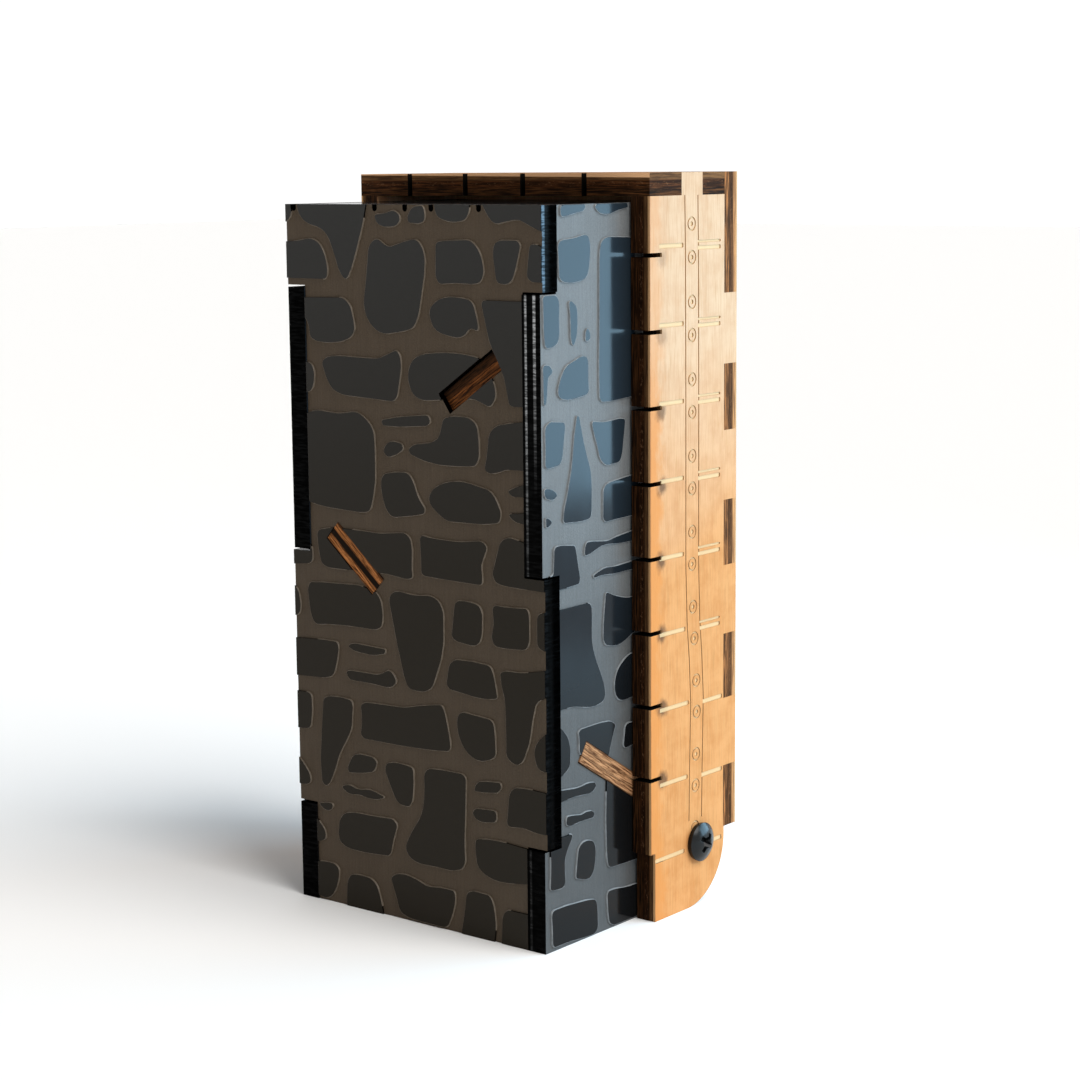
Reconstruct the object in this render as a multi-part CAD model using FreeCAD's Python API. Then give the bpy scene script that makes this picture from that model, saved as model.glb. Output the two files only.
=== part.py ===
"""A castle-tower puzzle box: a black acrylic stone tower held in a plywood drawbridge shell.

Working frame: x runs right from the tower's left edge, y runs back from its stone front, z runs up from
the surface it stands on. The finished pieces are moved so that the origin is the bottom centre of the
whole box, with the stone front facing -Y and the drawbridge deck facing +Y. All sizes are millimetres.
"""
import FreeCAD, Part
import math
import os

from FreeCAD import Vector

# ---- driving dimensions ----
TOWER_WIDTH = 44.1
TOWER_DEPTH = 35.4
TOWER_HEIGHT = 96.5
ACRYLIC = 3.2
PLY = 3.0
RELIEF = 0.22            # depth of the engraved mortar between the stones
SIDE_GAP = 0.15          # running gap between the tower and each shell wall
SHELL_FRONT = 18.6
SHELL_REAR = 38.7
SHELL_HEIGHT = 100.3
SCORE = 0.14             # depth of the lines scored in the plywood
SCORE_WIDTH = 0.22

PIVOT_Y = 29.7
PIVOT_Z = SHELL_REAR - PIVOT_Y        # the open deck lies flat on the table
SCREW_RADIUS = 1.5
SCREW_LENGTH = 10.0
SCREW_HEAD_RADIUS = 2.7
SCREW_HEAD_HEIGHT = 1.5
SCREW_RIM_HEIGHT = 0.6
NUT_WIDTH = 5.5
NUT_HEIGHT = 2.4

UPPER_SLIT = (32.2, 74.0)             # x, z of the slit's centre on the stone front
UPPER_SLOPE = 34.5                    # degrees, rising to the right
MIDDLE_SLIT = (11.4, 49.1)
MIDDLE_SLOPE = -40.6
SIDE_SLIT = (7.85, 25.5)              # y, z of the slit's upper end on the stone sides
SIDE_SLOPE = -31.2
TENON_LENGTH = 10.7
SIDE_TENON_LENGTH = 16.0
SLIT_CLEARANCE = 0.1

BALL_RADIUS = 3.5
BOLT_RADIUS = 1.75
BOLT_LENGTH = 14.7
BOLT_TRAVEL = 2.4
FIT = 0.06                            # radial clearance of the sliding and turning fits

# ---- places worked out from them ----
INNER_LEFT = ACRYLIC
INNER_RIGHT = TOWER_WIDTH - ACRYLIC
MIDDLE_X = TOWER_WIDTH / 2
REAR_INSIDE = TOWER_DEPTH - ACRYLIC
ROOF_UNDERSIDE = TOWER_HEIGHT - ACRYLIC
HEEL_RADIUS = TOWER_DEPTH - PIVOT_Y   # the tower's lower rear corner turns about the pivot
SHELL_LEFT = -SIDE_GAP - PLY
SHELL_RIGHT = TOWER_WIDTH + SIDE_GAP + PLY
DECK_INSIDE = SHELL_REAR - PLY
SHELL_UNDERSIDE = SHELL_HEIGHT - PLY
PARTITION_Y = 13.2
ROOM_FLOOR_Z = 34.0
BOLT_Z = 30.0
BOLT_TIP = TOWER_DEPTH - 0.2
TO_ORIGIN = Vector(-MIDDLE_X, -SHELL_REAR / 2, 0)

# z ranges in which a side wall's fingers come through to the front face
CORNER_FINGERS = ((0.0, 13.6), (49.6, 85.4))
FINGER_GAP = 0.28                      # daylight above and below each of them

# shell joints: the wall's fingers through the deck, from the lowest up
DECK_END = 9.75
WALL_FINGER_START = 18.5
WALL_FINGER = 9.6
FINGER_PITCH = 18.67
FINGER_COUNT = 4
TOP_FINGER = (25.75, 30.55)           # the wall's finger through the top plate, y from and to
TOP_TABS = ((8.9, 17.9), (26.2, 35.2))  # the top plate's tabs through the deck, x from and to
TOP_KERFS = (0.183, 0.383, 0.583, 0.789)  # kerfs between the top's five planks, shares of its width
TOP_KERF_WIDTH = 0.85

# shell decoration
KERF_TOP = 89.7
KERF_PITCH = 9.99
KERF_COUNT = 8
KERF_WIDTH = 0.56
KERF_LENGTH = 2.7
SEAM_TOP = 90.8
SEAM_PITCH = 10.3
SEAM_COUNT = 9
BAR_HEIGHT = 0.62
RIVET_PAIRS = 8
RIVET_OFFSET = 0.55                   # a pair's middle above its seam
RIVET_SPREAD = 2.2
RIVET_RADIUS = 0.95
STRAP_WIDTH = 3.0
# the side strap's left edge as (y, z): it bends round the pivot's side near the foot
STRAP_EDGE = ((26.45, 97.3), (26.6, 90), (26.7, 70), (26.7, 48), (27.0, 40), (27.5, 35),
              (27.85, 29), (27.6, 20), (27.45, 12.3))

# ---- stones on the front: hand-drawn outlines as (x, z), past the panel's edge where they run off it ----
FRONT_STONES = [
    [(-2, 98), (1.1, 98), (1.1, 95), (0, 94), (-2, 94)],
    [(1.9, 98), (2.5, 95.1), (3.9, 94), (6.5, 93.4), (7.8, 92.4), (8.9, 90), (9.7, 87.7), (10.9, 86.4),
     (11.9, 88), (13.1, 91.1), (14.1, 93.9), (15.1, 98)],
    [(-2, 91.4), (2.3, 91.6), (4.5, 92), (6, 91.5), (7.1, 90), (7.6, 88), (7.4, 86.6), (-2, 86.6)],
    [(16.2, 95.2), (18, 95.3), (19.6, 95.8), (20.6, 95.2), (20.7, 94.4), (19.9, 93.7), (17.8, 93.6),
     (16.6, 94.1)],
    [(22, 94.9), (22.8, 96.2), (24.7, 96.4), (25, 95.4), (24.9, 94.4), (24, 94.1), (22.2, 94.2)],
    [(26.2, 98), (27, 95), (28.5, 94.5), (30, 94.3), (31.8, 94.6), (32.5, 95.6), (32.5, 98)],
    [(33.9, 98), (35.4, 95.3), (36.6, 94.1), (38.2, 94.4), (40.5, 94.8), (42.2, 94), (46, 92.6), (46, 98)],
    [(15.1, 91.1), (16.5, 92.2), (18.6, 90.9), (21.6, 91.8), (23.4, 92.1), (24.4, 91.2), (24.9, 89.9),
     (24.8, 87.7), (23.7, 82.4), (22.8, 80.6), (21, 80.1), (17.5, 79.6), (15.9, 80.2), (14.6, 81.5),
     (14, 83.3),
     (14.7, 87.7)],
    [(26.8, 91.7), (28, 91.9), (32.5, 92.1), (33.7, 91.2), (34.5, 89.8), (34.8, 88), (34.3, 86.8), (33, 86.5),
     (30, 86.6), (27.3, 86.4), (26.7, 87.3)],
    [(36.6, 91.7), (37.5, 92.1), (40.3, 92.1), (40.8, 91.5), (40, 88.6), (39.4, 87.1), (38.5, 86.6),
     (36.9, 86.7), (36.6, 88.5), (36.3, 90.5)],
    [(42.3, 91.6), (43.2, 91.7), (46, 90.8), (46, 86.9), (42.5, 87), (41.8, 87.6), (42, 89.5)],
    [(2, 84), (10.3, 84.2), (11.5, 83.3), (12.1, 81.5), (12.3, 79.9), (11.6, 79), (10.2, 78.4), (7.8, 78.1),
     (5.3, 78.2), (4.1, 78.7), (3.9, 80.6), (2, 82.9)],
    [(25.6, 83.2), (27, 84.4), (29, 84.8), (31, 84.7), (32.8, 84.4), (33.6, 82), (33.8, 80.5), (32.4, 81),
     (31.3, 79.8), (30.1, 79.6), (27.6, 80), (26.3, 80.6), (25.6, 82)],
    [(34.2, 84.5), (43, 84.5), (43, 71.3), (39.2, 71.2), (38.7, 71.5), (37.9, 75), (35.6, 79.2)],
    [(6.1, 75.5), (7.2, 76.2), (9.3, 76.4), (13.7, 76.3), (16.4, 76.3), (17.8, 76.8), (19.7, 77.6),
     (20.3, 76.8),
     (20.5, 75.4), (19.7, 71.5), (19, 70.8), (16.6, 70.9), (9.9, 71.2), (8.1, 71.8), (7.1, 73)],
    [(1, 75.7), (4.2, 75.2), (4.7, 74), (4.6, 72.5), (4, 71.4), (1, 70.7)],
    [(21.6, 73.6), (21.8, 75.4), (22.8, 76.7), (24.6, 77.3), (28.4, 77.6), (31.4, 77.5), (34, 77.1),
     (35.5, 75.5), (36.4, 73.6), (36.5, 72.1), (35.5, 70.9), (34.3, 71.4), (32.8, 71.9), (28, 71.5),
     (24, 71.2),
     (22.5, 71.8)],
    [(16.8, 68.2), (20, 68.8), (25, 69.3), (25.4, 68.4), (24.8, 67.9), (20, 67.5), (17, 67.5)],
    [(17, 64), (17.5, 65), (18.5, 65.5), (20.3, 65.3), (20.6, 64.6), (19.5, 63.8), (17.8, 63.3)],
    [(27.6, 69), (29, 69.4), (32, 69.4), (33.3, 68.5), (33.6, 66.5), (33.6, 64.3), (33, 63.2), (31, 63),
     (27, 62.9), (24, 63.3), (21.8, 64), (21.5, 64.6), (22.5, 65.3), (25.5, 65.7), (26.7, 66.3),
     (27.3, 67.7)],
    [(35, 65), (35.3, 67.5), (36.5, 68.6), (38.5, 69), (43, 69.6), (43, 63.2), (38, 63.1), (36.8, 62.6),
     (35.3, 62.4), (34.5, 62.8)],
    [(2, 68), (4.9, 68.9), (9, 68.6), (12.4, 69.1), (14.3, 68), (15.3, 66.8), (15.5, 65), (15.5, 60.1),
     (15, 57.5),
     (14.4, 55.7), (12.5, 55.5), (7.2, 55.7), (4.9, 55.9), (2, 56.5)],
    [(16.5, 60), (17, 61), (19, 61.4), (21.3, 61.5), (22.3, 60.3), (23, 58.3), (24.2, 56.9), (24.1, 56.3),
     (22.5, 55.9), (20.5, 55.6), (18.4, 55.3), (17.3, 56.3), (16.6, 58.3)],
    [(24.9, 58.4), (25.5, 59.5), (27, 60.4), (29, 60.9), (31, 61), (35.3, 60.2), (36.3, 59.2), (37.2, 57.3),
     (36.8, 56.1), (34, 55.7), (28, 55.6), (26.3, 56.6), (25.2, 57.5)],
    [(38.3, 60.3), (39.5, 60.9), (43, 61.9), (43, 59.8), (39, 59.7)],
    [(38.2, 57.4), (43, 57.9), (43, 56.2), (39.5, 56.4)],
    [(4.5, 52.4), (7.5, 53), (12, 53), (16, 52.9), (20.5, 53.4), (21.5, 52.8), (21.8, 51.5), (21.7, 48.5),
     (21.9, 47.5), (20.8, 47.2), (17, 47.6), (9, 47.4), (6.5, 47.4), (5.3, 47.8), (4.8, 49.5)],
    [(23.2, 53.4), (25, 53.1), (30, 53), (33.8, 53.5), (34.8, 52.8), (34.1, 51.2), (33.7, 50.3), (33.9, 48.8),
     (33.8, 47.7), (28.5, 47.8), (25, 47.9), (23.4, 48), (23.4, 50.5)],
    [(35.6, 49.3), (36.2, 51.3), (37, 53.7), (38.3, 54.4), (40.9, 53.9), (46, 52.4), (46, 47.8), (40.5, 47.9),
     (37.5, 48), (36.1, 48.3)],
    [(-2, 52), (2, 52), (3.6, 49.8), (3.5, 47.7), (-2, 47.1)],
    [(2.5, 44), (2.9, 45), (5, 45.2), (12, 45.5), (15, 45), (16, 44), (16.4, 41.8), (16.1, 40.2), (15, 39.7),
     (10, 39.7), (6, 39.5), (3.8, 39.2), (3, 40.5)],
    [(-2, 45.5), (0.7, 43.8), (1.1, 41.5), (0.8, 40.4), (-2, 39.2)],
    [(17.5, 44.3), (18.3, 45.2), (19.5, 45.4), (22, 45.1), (25, 45.4), (26.4, 44.8), (27.1, 43.5),
     (27.1, 39.5),
     (26.6, 37), (25.7, 34.8), (25, 33), (23.5, 32.2), (20.8, 32.3), (20, 33.8), (19.5, 36), (18.9, 38),
     (17.9, 42.5)],
    [(29.2, 45.2), (31.5, 45.3), (33.2, 45), (33.8, 44), (33.7, 41), (33.1, 39.8), (32, 39.5), (29.3, 39.8),
     (28.5, 40.3), (28.8, 42.5)],
    [(35.5, 45.3), (38, 45.2), (41.3, 45.4), (41.6, 44.5), (41.6, 41), (41, 40), (38, 39.8), (35.8, 39.9),
     (35.3, 41), (35.8, 43)],
    [(42.9, 44.9), (46, 45.6), (46, 39.7), (42.9, 40.5)],
    [(-2, 36.8), (5, 37.2), (7.8, 37.2), (8.1, 36.3), (7.6, 34), (7, 32.4), (5.5, 31.9), (-2, 31.5)],
    [(9.7, 36.9), (11, 37.4), (13, 37.3), (16.7, 37.2), (16.6, 36.6), (14.5, 36.1), (11, 36.3)],
    [(9.4, 33.2), (10, 33.5), (15.5, 33.5), (17.2, 34.4), (18, 34), (18.6, 33), (18, 32.3), (17, 32),
     (14, 32.2), (10, 32.2)],
    [(28, 36.5), (29, 37.3), (32, 37.4), (35, 37.2), (35.6, 36), (36, 34), (36.2, 33), (34.5, 32.7),
     (32.5, 32.7),
     (30, 33), (28, 33.2), (27.5, 33.8)],
    [(36.7, 36.5), (37.5, 36.8), (40.5, 36.9), (46, 38), (46, 34.8), (42.7, 33.5), (42, 31), (41.5, 28),
     (40.9, 26.5), (40.4, 25.3), (39.5, 24.6), (38.5, 24.8), (37.6, 25.5), (37.6, 29), (37.5, 33),
     (36.9, 34.8)],
    [(-2, 29.4), (2.7, 29.4), (2.8, 27), (2.4, 24.3), (-2, 24)],
    [(5, 28.9), (6, 29.4), (8.5, 29.5), (10.2, 29.3), (10.5, 28.5), (10.2, 25.3), (8.8, 23), (7.8, 21.5),
     (7, 19.3), (5.9, 17.1), (5.1, 16.5), (4.4, 17), (4.2, 20), (4.6, 25)],
    [(12, 29), (13, 29.4), (16, 29.5), (20, 29.6), (23, 30.3), (26.6, 30.9), (27.1, 29.9), (27.8, 27),
     (28.1, 24.8),
     (25, 24.5), (20, 24.3), (12.5, 24.3), (11.9, 24.8), (12.2, 26.8)],
    [(29.2, 29), (29.5, 30), (30.3, 30.4), (32.5, 30.2), (35.4, 30), (35.7, 28), (35.8, 25.2), (34.5, 24.5),
     (33, 24.2), (31.5, 24.6), (30.3, 25.6), (29.4, 27.2)],
    [(42.2, 26.5), (42.6, 28), (46, 31), (46, 24.2), (42.8, 24.5)],
    [(-2, 21.6), (0.8, 19.2), (2, 17.8), (2.2, 16.7), (1.5, 16.2), (-2, 16)],
    [(10.3, 21.6), (11.5, 22), (14, 21.9), (14.8, 21.3), (14.2, 19.9), (12, 19.4), (9.5, 19.1), (9.3, 19.8)],
    [(7.9, 16.9), (9.5, 17.4), (11, 16.9), (13.5, 17.3), (16.2, 16.6), (14.8, 16.1), (13, 16), (11.5, 16.3),
     (9.5, 16)],
    [(16.2, 20.5), (16.5, 21.4), (18, 21.8), (20, 21.7), (21.3, 21.5), (21.4, 19.5), (21.1, 16.9), (20.5, 16),
     (18.7, 16.1), (17.9, 17), (17, 18.8)],
    [(23.3, 21), (24, 21.8), (26, 22), (30, 22), (30.6, 21.5), (30.5, 18), (30.2, 12.5), (30.3, 10),
     (29.8, 9),
     (28, 8.4), (25.5, 8.5), (22, 8.4), (20.5, 8.9), (19.7, 10), (20, 11), (21, 12.8), (22.5, 14.8),
     (23.1, 16.5),
     (23.3, 18.5)],
    [(32.2, 20.7), (32.8, 21.4), (34, 21.6), (36.4, 21.8), (36.7, 21.2), (36.1, 20.4), (34, 20.1),
     (32.1, 20)],
    [(31.6, 17), (32.3, 17.7), (35.7, 17.9), (35.8, 16.8), (35.4, 16.3), (33.5, 16), (32.3, 16.2)],
    [(38, 20.5), (38.8, 21.5), (41, 21.7), (46, 21.5), (46, 16.1), (42.5, 16), (40.5, 16.4), (37.5, 16.1),
     (37.8, 18.5)],
    [(3.5, 13.8), (5.5, 14.2), (6.4, 14.1), (6, 13.2), (5, 13)],
    [(1, 13.4), (4, 10.9), (4.8, 10), (4.8, 8.8), (1, 7.6)],
    [(7.3, 10), (7.5, 12), (8.5, 13.2), (10.5, 13.6), (14, 13.6), (17.5, 13.8), (18.3, 13), (17.7, 11.5),
     (17, 8.9), (16.5, 8.5), (12, 8.2), (9, 8.3), (7.6, 8.9)],
    [(32.1, 13.5), (34, 13.8), (36.5, 13.9), (43, 13.5), (43, 9.2), (38, 8.5), (35.5, 8.4), (33.5, 9),
     (32.4, 9.9),
     (32.1, 12)],
    [(1, 5), (4.5, 5.6), (6.3, 5.6), (7.2, 5), (7.2, 3.8), (6.6, 2), (5.6, 0.7), (4.5, 0.3), (1, 1)],
    [(8.8, 3.5), (9.5, 4.6), (11, 4.8), (13.2, 4.7), (14.3, 3.9), (15, 2), (15.8, -2), (8.5, -2)],
    [(16.9, 5.5), (18, 6.2), (19.5, 6.4), (21.5, 6.1), (23.5, 5.4), (26, 5.7), (28.3, 5.7), (28.5, 4.5),
     (28, 2.5),
     (27, 0.3), (23.5, 0.3), (20, 0.4), (18.5, 1), (18.1, 2.3), (17.5, 4)],
    [(30.5, 5.8), (31.5, 6.3), (34.5, 6.2), (35.1, 5), (35.5, 2.5), (35, -2), (29.1, -2), (30, 2.5)],
    [(36.7, 4), (37.5, 4.8), (43, 4.8), (43, -2), (36.3, -2)],
]
# small pits under the top edge of the front, as x
FRONT_PITS = (1.4, 16.1, 21.4, 25.9, 33.9)
PIT_WIDTH = 0.8
PIT_HEIGHT = 0.9
PIT_DEPTH = 1.2

# ---- stones on the sides, as (y, z); the left side is the right one mirrored ----
SIDE_STONES = [
    [(4, 95), (4, 96.2), (4.5, 96.45), (9, 96.45), (9.1, 96), (8.6, 95.6), (6.8, 95.4), (5.5, 95.1)],
    [(11.1, 96.1), (11.6, 96.45), (18, 96.45), (18.2, 95.9), (16, 95.6), (14.5, 95.2), (13.5, 95.1),
     (12, 95.3)],
    [(3.4, 91.2), (3.7, 91.9), (4.5, 92.1), (6.5, 92.2), (8.8, 92.6), (9.6, 92.5), (10, 91.7), (10.1, 90.6),
     (9.8, 88.5), (9.4, 87.4), (8.5, 86.9), (6, 86.65), (4.3, 86.9), (3.6, 87.5), (3.6, 89.5)],
    [(12.2, 91.2), (12.8, 91.9), (13.8, 92.2), (19, 92), (19.6, 91), (19.7, 88), (19.6, 80), (19.8, 74),
     (19.5, 71.3), (14, 71), (11.9, 71.1), (11.8, 75), (11.9, 80), (12, 89.5)],
    [(0.3, 85), (0.6, 85.25), (2.8, 85.25), (3.4, 84.8), (3.6, 84), (3.5, 81.8), (3.6, 80.3), (3.2, 79.2),
     (2.2, 78.8), (1, 78.7), (0.6, 79.2), (0.4, 81), (0.4, 83)],
    [(5.6, 84.2), (6, 84.4), (7, 83.8), (7.3, 83), (7.3, 81), (7.1, 79.8), (6.6, 78.8), (6.2, 78.9),
     (5.9, 79.8),
     (5.9, 81.5), (5.8, 83)],
    [(9, 80.3), (9.4, 80.8), (9.9, 80.2), (10, 79.4), (9.4, 79.1), (9, 79.2)],
    [(0.2, 76.4), (0.6, 76.6), (1.5, 76.5), (2, 76), (2.1, 75.5), (1.3, 75.2), (1.1, 74.5), (1, 73),
     (0.8, 71.9),
     (0.5, 71.5), (0.3, 71.8)],
    [(3.2, 72.8), (3.3, 73.6), (3.8, 74.8), (4.6, 75.9), (5.4, 76.4), (6.8, 76.8), (8.2, 77.3), (9.2, 77.1),
     (9.5, 76.5), (9.5, 74), (9.6, 72.7), (9.2, 72.3), (7, 72), (5, 71.9), (3.7, 72.2)],
    [(0.5, 68.7), (1.4, 69.4), (2.5, 69.3), (4.4, 69.1), (4.6, 68.5), (4.3, 66.8), (4, 64.6), (3.5, 63.8),
     (2, 63.6),
     (0.5, 63.5), (0.6, 66)],
    [(7.1, 69.7), (7.5, 69.6), (7.8, 68.5), (8.5, 66), (9.3, 63.8), (9.9, 62.4), (10.1, 60), (10, 57),
     (9.8, 56.2),
     (8, 56), (6, 56.1), (4.4, 56.2), (4.1, 56.5), (4.2, 57.5), (4.9, 59.5), (5.9, 63), (6.2, 65),
     (6.5, 67.3)],
    [(10.2, 68.7), (12.5, 68.4), (14, 68.4), (16, 68.6), (17.4, 68.4), (17.3, 67.5), (16.7, 63.9),
     (16.2, 62.9),
     (15, 62.8), (13.3, 62.7), (12.3, 63.3), (11.8, 64), (11.2, 65.8), (10.5, 67.5)],
    [(0.2, 61), (1.5, 60.9), (2.5, 60.4), (2.9, 59.9), (2.3, 59.5), (1.3, 59.5), (0.4, 59.9)],
    [(0.5, 57.3), (1.2, 57.1), (1.8, 56.6), (1.3, 56.2), (0.6, 56)],
    [(12.6, 59.5), (13, 60.1), (14, 60.4), (19.5, 60.9), (20.2, 60), (20.2, 56.4), (19.6, 55.5), (14.5, 55.4),
     (13, 55.3), (12.5, 55.8)],
    [(2.2, 53.3), (3.5, 53.4), (6.5, 53), (6.7, 52.2), (7.2, 50), (7.5, 48.5), (7.3, 47.9), (5.5, 47.8),
     (1, 47.6),
     (1, 49.6), (2, 49.7), (2.1, 51.5)],
    [(8.5, 51.4), (8.6, 52.5), (9, 53.1), (10, 53.1), (13.5, 52.7), (15, 53), (20, 53.5), (20.7, 52.8),
     (20, 52.1),
     (16, 52.1), (12.5, 52.4), (9.5, 51.5)],
    [(10.3, 48.5), (11.3, 48.9), (13, 49.3), (15, 49.1), (20, 49.4), (20.7, 48.8), (20, 48.3), (15, 48.2),
     (12, 48.4), (10.6, 48.2)],
    [(1, 45), (9.5, 45.05), (9.9, 44.5), (10, 43), (9.9, 41), (10, 39.5), (10.5, 38), (11.2, 36.5), (12, 35),
     (12.6, 33.5), (12.8, 32.3), (12.3, 31.5), (11, 31.2), (9.5, 31.2), (7.5, 31.6), (5.5, 32), (1, 31.9)],
    [(13, 45.8), (13.4, 45.9), (15, 45.2), (17.3, 44.6), (20.4, 44.4), (20.9, 42.5), (20.6, 40.3), (19, 39.7),
     (17.5, 39), (16, 38.5), (14.5, 38.6), (13, 38.9), (12.4, 39.7), (12.5, 42)],
    [(14.8, 33), (15, 34.2), (15.7, 35.4), (16.8, 36.2), (18, 36.8), (21, 37.1), (22.2, 36.2), (22.4, 33.4),
     (21.6, 31.2), (16.8, 30.8), (15.7, 31.1), (15, 31.9)],
    [(1, 31.4), (4.2, 28.7), (4.9, 27.7), (5.2, 26.5), (5.2, 25), (5, 24.1), (4.2, 23.5), (1, 22.2)],
    [(7, 28.3), (7.5, 28.6), (11.5, 28.7), (14, 28.5), (15, 27.8), (14.7, 27.2), (14, 25.5), (12.2, 20.9),
     (7.1, 25.5), (7.2, 27)],
    [(17, 26), (17.2, 27.2), (17.8, 27.5), (20.6, 27.4), (21.2, 26.4), (20.9, 24.5), (16.7, 24.2)],
    [(1, 21.5), (4, 21.2), (5.5, 21), (7, 20.9), (9, 21.1), (10.4, 20.9), (10.7, 20.4), (10.2, 19.9),
     (9.3, 19.6),
     (7.5, 19.8), (5.5, 19.9), (1, 19.6)],
    [(4.2, 16.5), (4.4, 17.5), (5, 17.5), (6.5, 17.3), (7.5, 17.1), (8.5, 17.3), (9.8, 17.2), (10.3, 16.7),
     (10, 16.2), (7, 16.3), (5, 16.1)],
    [(0.8, 15), (5.8, 15), (4.1, 12.6), (3.8, 11.5), (3.9, 9.5), (3.9, 8.5), (3.2, 8.2), (1.5, 8.3),
     (0.8, 8.5),
     (0.9, 10), (1, 12)],
    [(6.5, 11), (6.8, 12.7), (7.6, 13.3), (8.8, 13.4), (10, 13), (10.5, 12), (10.4, 10.3), (10.1, 9),
     (9.4, 8.2),
     (8.5, 8.1), (7, 8.5), (6.2, 8.8), (6.3, 9.6)],
    [(13, 22), (13, 20), (12.9, 18), (12.8, 15), (12.9, 12), (13, 10), (13.3, 8.8), (13.8, 8.5), (16, 8.4),
     (19.8, 8.3), (20.6, 9.2), (20.6, 17)],
    [(1, 5.6), (4, 5.6), (6.5, 5.4), (9, 5.2), (10.4, 4.9), (10.8, 4), (10.9, 1), (10.4, 0.3), (9.5, 0.2),
     (7, 0.4),
     (4.5, 0.6), (1.6, 0.6), (1.2, 1), (1.2, 3)],
    [(13, 4.8), (13.3, 5.3), (14.5, 5.3), (17.5, 4.9), (20.2, 4.8), (20.8, 3.6), (20.6, 0.7), (19.6, 0.25),
     (14.5, 0.3), (13.5, 0.8), (13.2, 2)],
]
# courses behind the shell walls and round the doorway: z from, z to, then (from, to) of each stone
SIDE_COURSES = [
    (95.1, 98, (19.6, 26.1), (27.9, 34.1)),
    (86.8, 92.5, (21.6, 29), (30.8, 38)),
    (78.7, 84.5, (21.6, 34)),
    (71.1, 76.7, (21.6, 27.8), (29.5, 38)),
    (62.9, 69, (19.2, 26.6), (28.4, 38)),
    (55.5, 60.8, (22, 29.8), (31.5, 38)),
    (48.2, 53.5, (22.5, 33.3)),
    (39.6, 45.6, (22.6, 29.5), (31.2, 38)),
    (31.3, 37.2, (24, 34.5)),
    (23.9, 28.7, (22.9, 30), (31.7, 38)),
    (16.8, 22, (30, 38)),
    (0.3, 5.3, (22.4, 28.4)),
]
DOOR_LEFT, DOOR_RIGHT = 9.0, TOWER_WIDTH - 9.0
DOOR_SILL, DOOR_SPRING = 41.0, 76.0
GATE_BOTTOM = 12.6
GATE_COURSES = [
    (13.4, 19.2, (4, 11.6), (13.2, 23.4), (25, 31.4), (33, 40.1)),
    (21, 26.6, (4, 8.2), (9.9, 18.4), (25.8, 34.6), (36.2, 40.1)),
    (28.3, 33.4, (4, 13.7), (30.2, 40.1)),
    (35.2, 39.4, (4, 9.4), (11, 20.6), (22.2, 32.8), (34.5, 40.1)),
    (41.2, 46.4, (4, 7.8), (36.3, 40.1)),
    (48.1, 54.7, (4, 7.8), (36.3, 40.1)),
    (56.4, 61.2, (4, 7.8), (36.3, 40.1)),
    (62.9, 69.3, (4, 7.8), (36.3, 40.1)),
    (71, 76.4, (4, 7.8), (36.3, 40.1)),
    (78.1, 84, (4, 7.6), (36.5, 40.1)),
    (85.7, 91.9, (4, 9.6), (34.5, 40.1)),
]


# ---- helpers ----
def box(x_from, x_to, y_from, y_to, z_from, z_to):
    return Part.makeBox(x_to - x_from, y_to - y_from, z_to - z_from, Vector(x_from, y_from, z_from))


def rod(radius, start, direction, length):
    return Part.makeCylinder(radius, length, start, direction)


def soft_outline(points, softness=0.9):
    """A closed face in the plane y = 0 whose corners are eased by up to `softness`."""
    corners = [Vector(u, 0, v) for u, v in points]
    edges = []
    ends = []
    count = len(corners)
    for i, corner in enumerate(corners):
        before = corners[i - 1] - corner
        after = corners[(i + 1) % count] - corner
        ease = min(softness, 0.48 * before.Length, 0.48 * after.Length)
        start = corner + before.normalize() * ease
        end = corner + after.normalize() * ease
        curve = Part.BezierCurve()
        curve.setPoles([start, corner, end])
        ends.append((start, curve.toShape(), end))
    for i, (start, corner_edge, end) in enumerate(ends):
        edges.append(corner_edge)
        edges.append(Part.makeLine(end, ends[(i + 1) % count][0]))
    return Part.Face(Part.Wire(edges))


def course_outlines(courses):
    """Roughly squared stones, each leaning a little by where it lies."""
    outlines = []
    for low, high, *spans in courses:
        for left, right in spans:
            lean = 0.22 * math.sin(7 * left + 3 * low)
            sag = 0.18 * math.cos(5 * right + 2 * high)
            middle = (left + right) / 2
            outlines.append([(left + lean, low), (middle, low + sag), (right - lean, low + 0.1),
                             (right + sag, high - lean), (middle, high + lean), (left, high - sag)])
    return outlines


def stone_panel(outline, stones):
    """A wall with raised stones: outer face in the plane y = 0, thickness towards +y."""
    backing = outline.translated(Vector(0, RELIEF, 0)).extrude(Vector(0, ACRYLIC - RELIEF, 0))
    skin = outline.extrude(Vector(0, RELIEF, 0))
    blocks = [soft_outline(stone).extrude(Vector(0, RELIEF, 0)) for stone in stones]
    raised = skin.common(Part.makeCompound(blocks))
    return backing.multiFuse(raised.Solids)


def polygon_face(points):
    corners = [Vector(u, 0, v) for u, v in points]
    return Part.Face(Part.makePolygon(corners + corners[:1]))


def slanted(shape, pivot, axis, degrees):
    turned = shape.copy()
    turned.rotate(pivot, axis, degrees)
    return turned


def front_ramp_box(slit, slope, along_from, along_to, y_from, y_to, thickness=PLY):
    """A bar in the ramp's own direction through `slit`, between two depths."""
    centre = Vector(slit[0], 0, slit[1])
    x, z = slit
    bar = box(x + along_from, x + along_to, y_from, y_to, z - thickness / 2, z + thickness / 2)
    return slanted(bar, centre, Vector(0, -1, 0), slope)


def side_ramp_box(along_from, along_to, x_from, x_to, thickness=PLY):
    y, z = SIDE_SLIT
    bar = box(x_from, x_to, y + along_from, y + along_to, z - thickness / 2, z + thickness / 2)
    return slanted(bar, Vector(0, y, z), Vector(1, 0, 0), SIDE_SLOPE)


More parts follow.
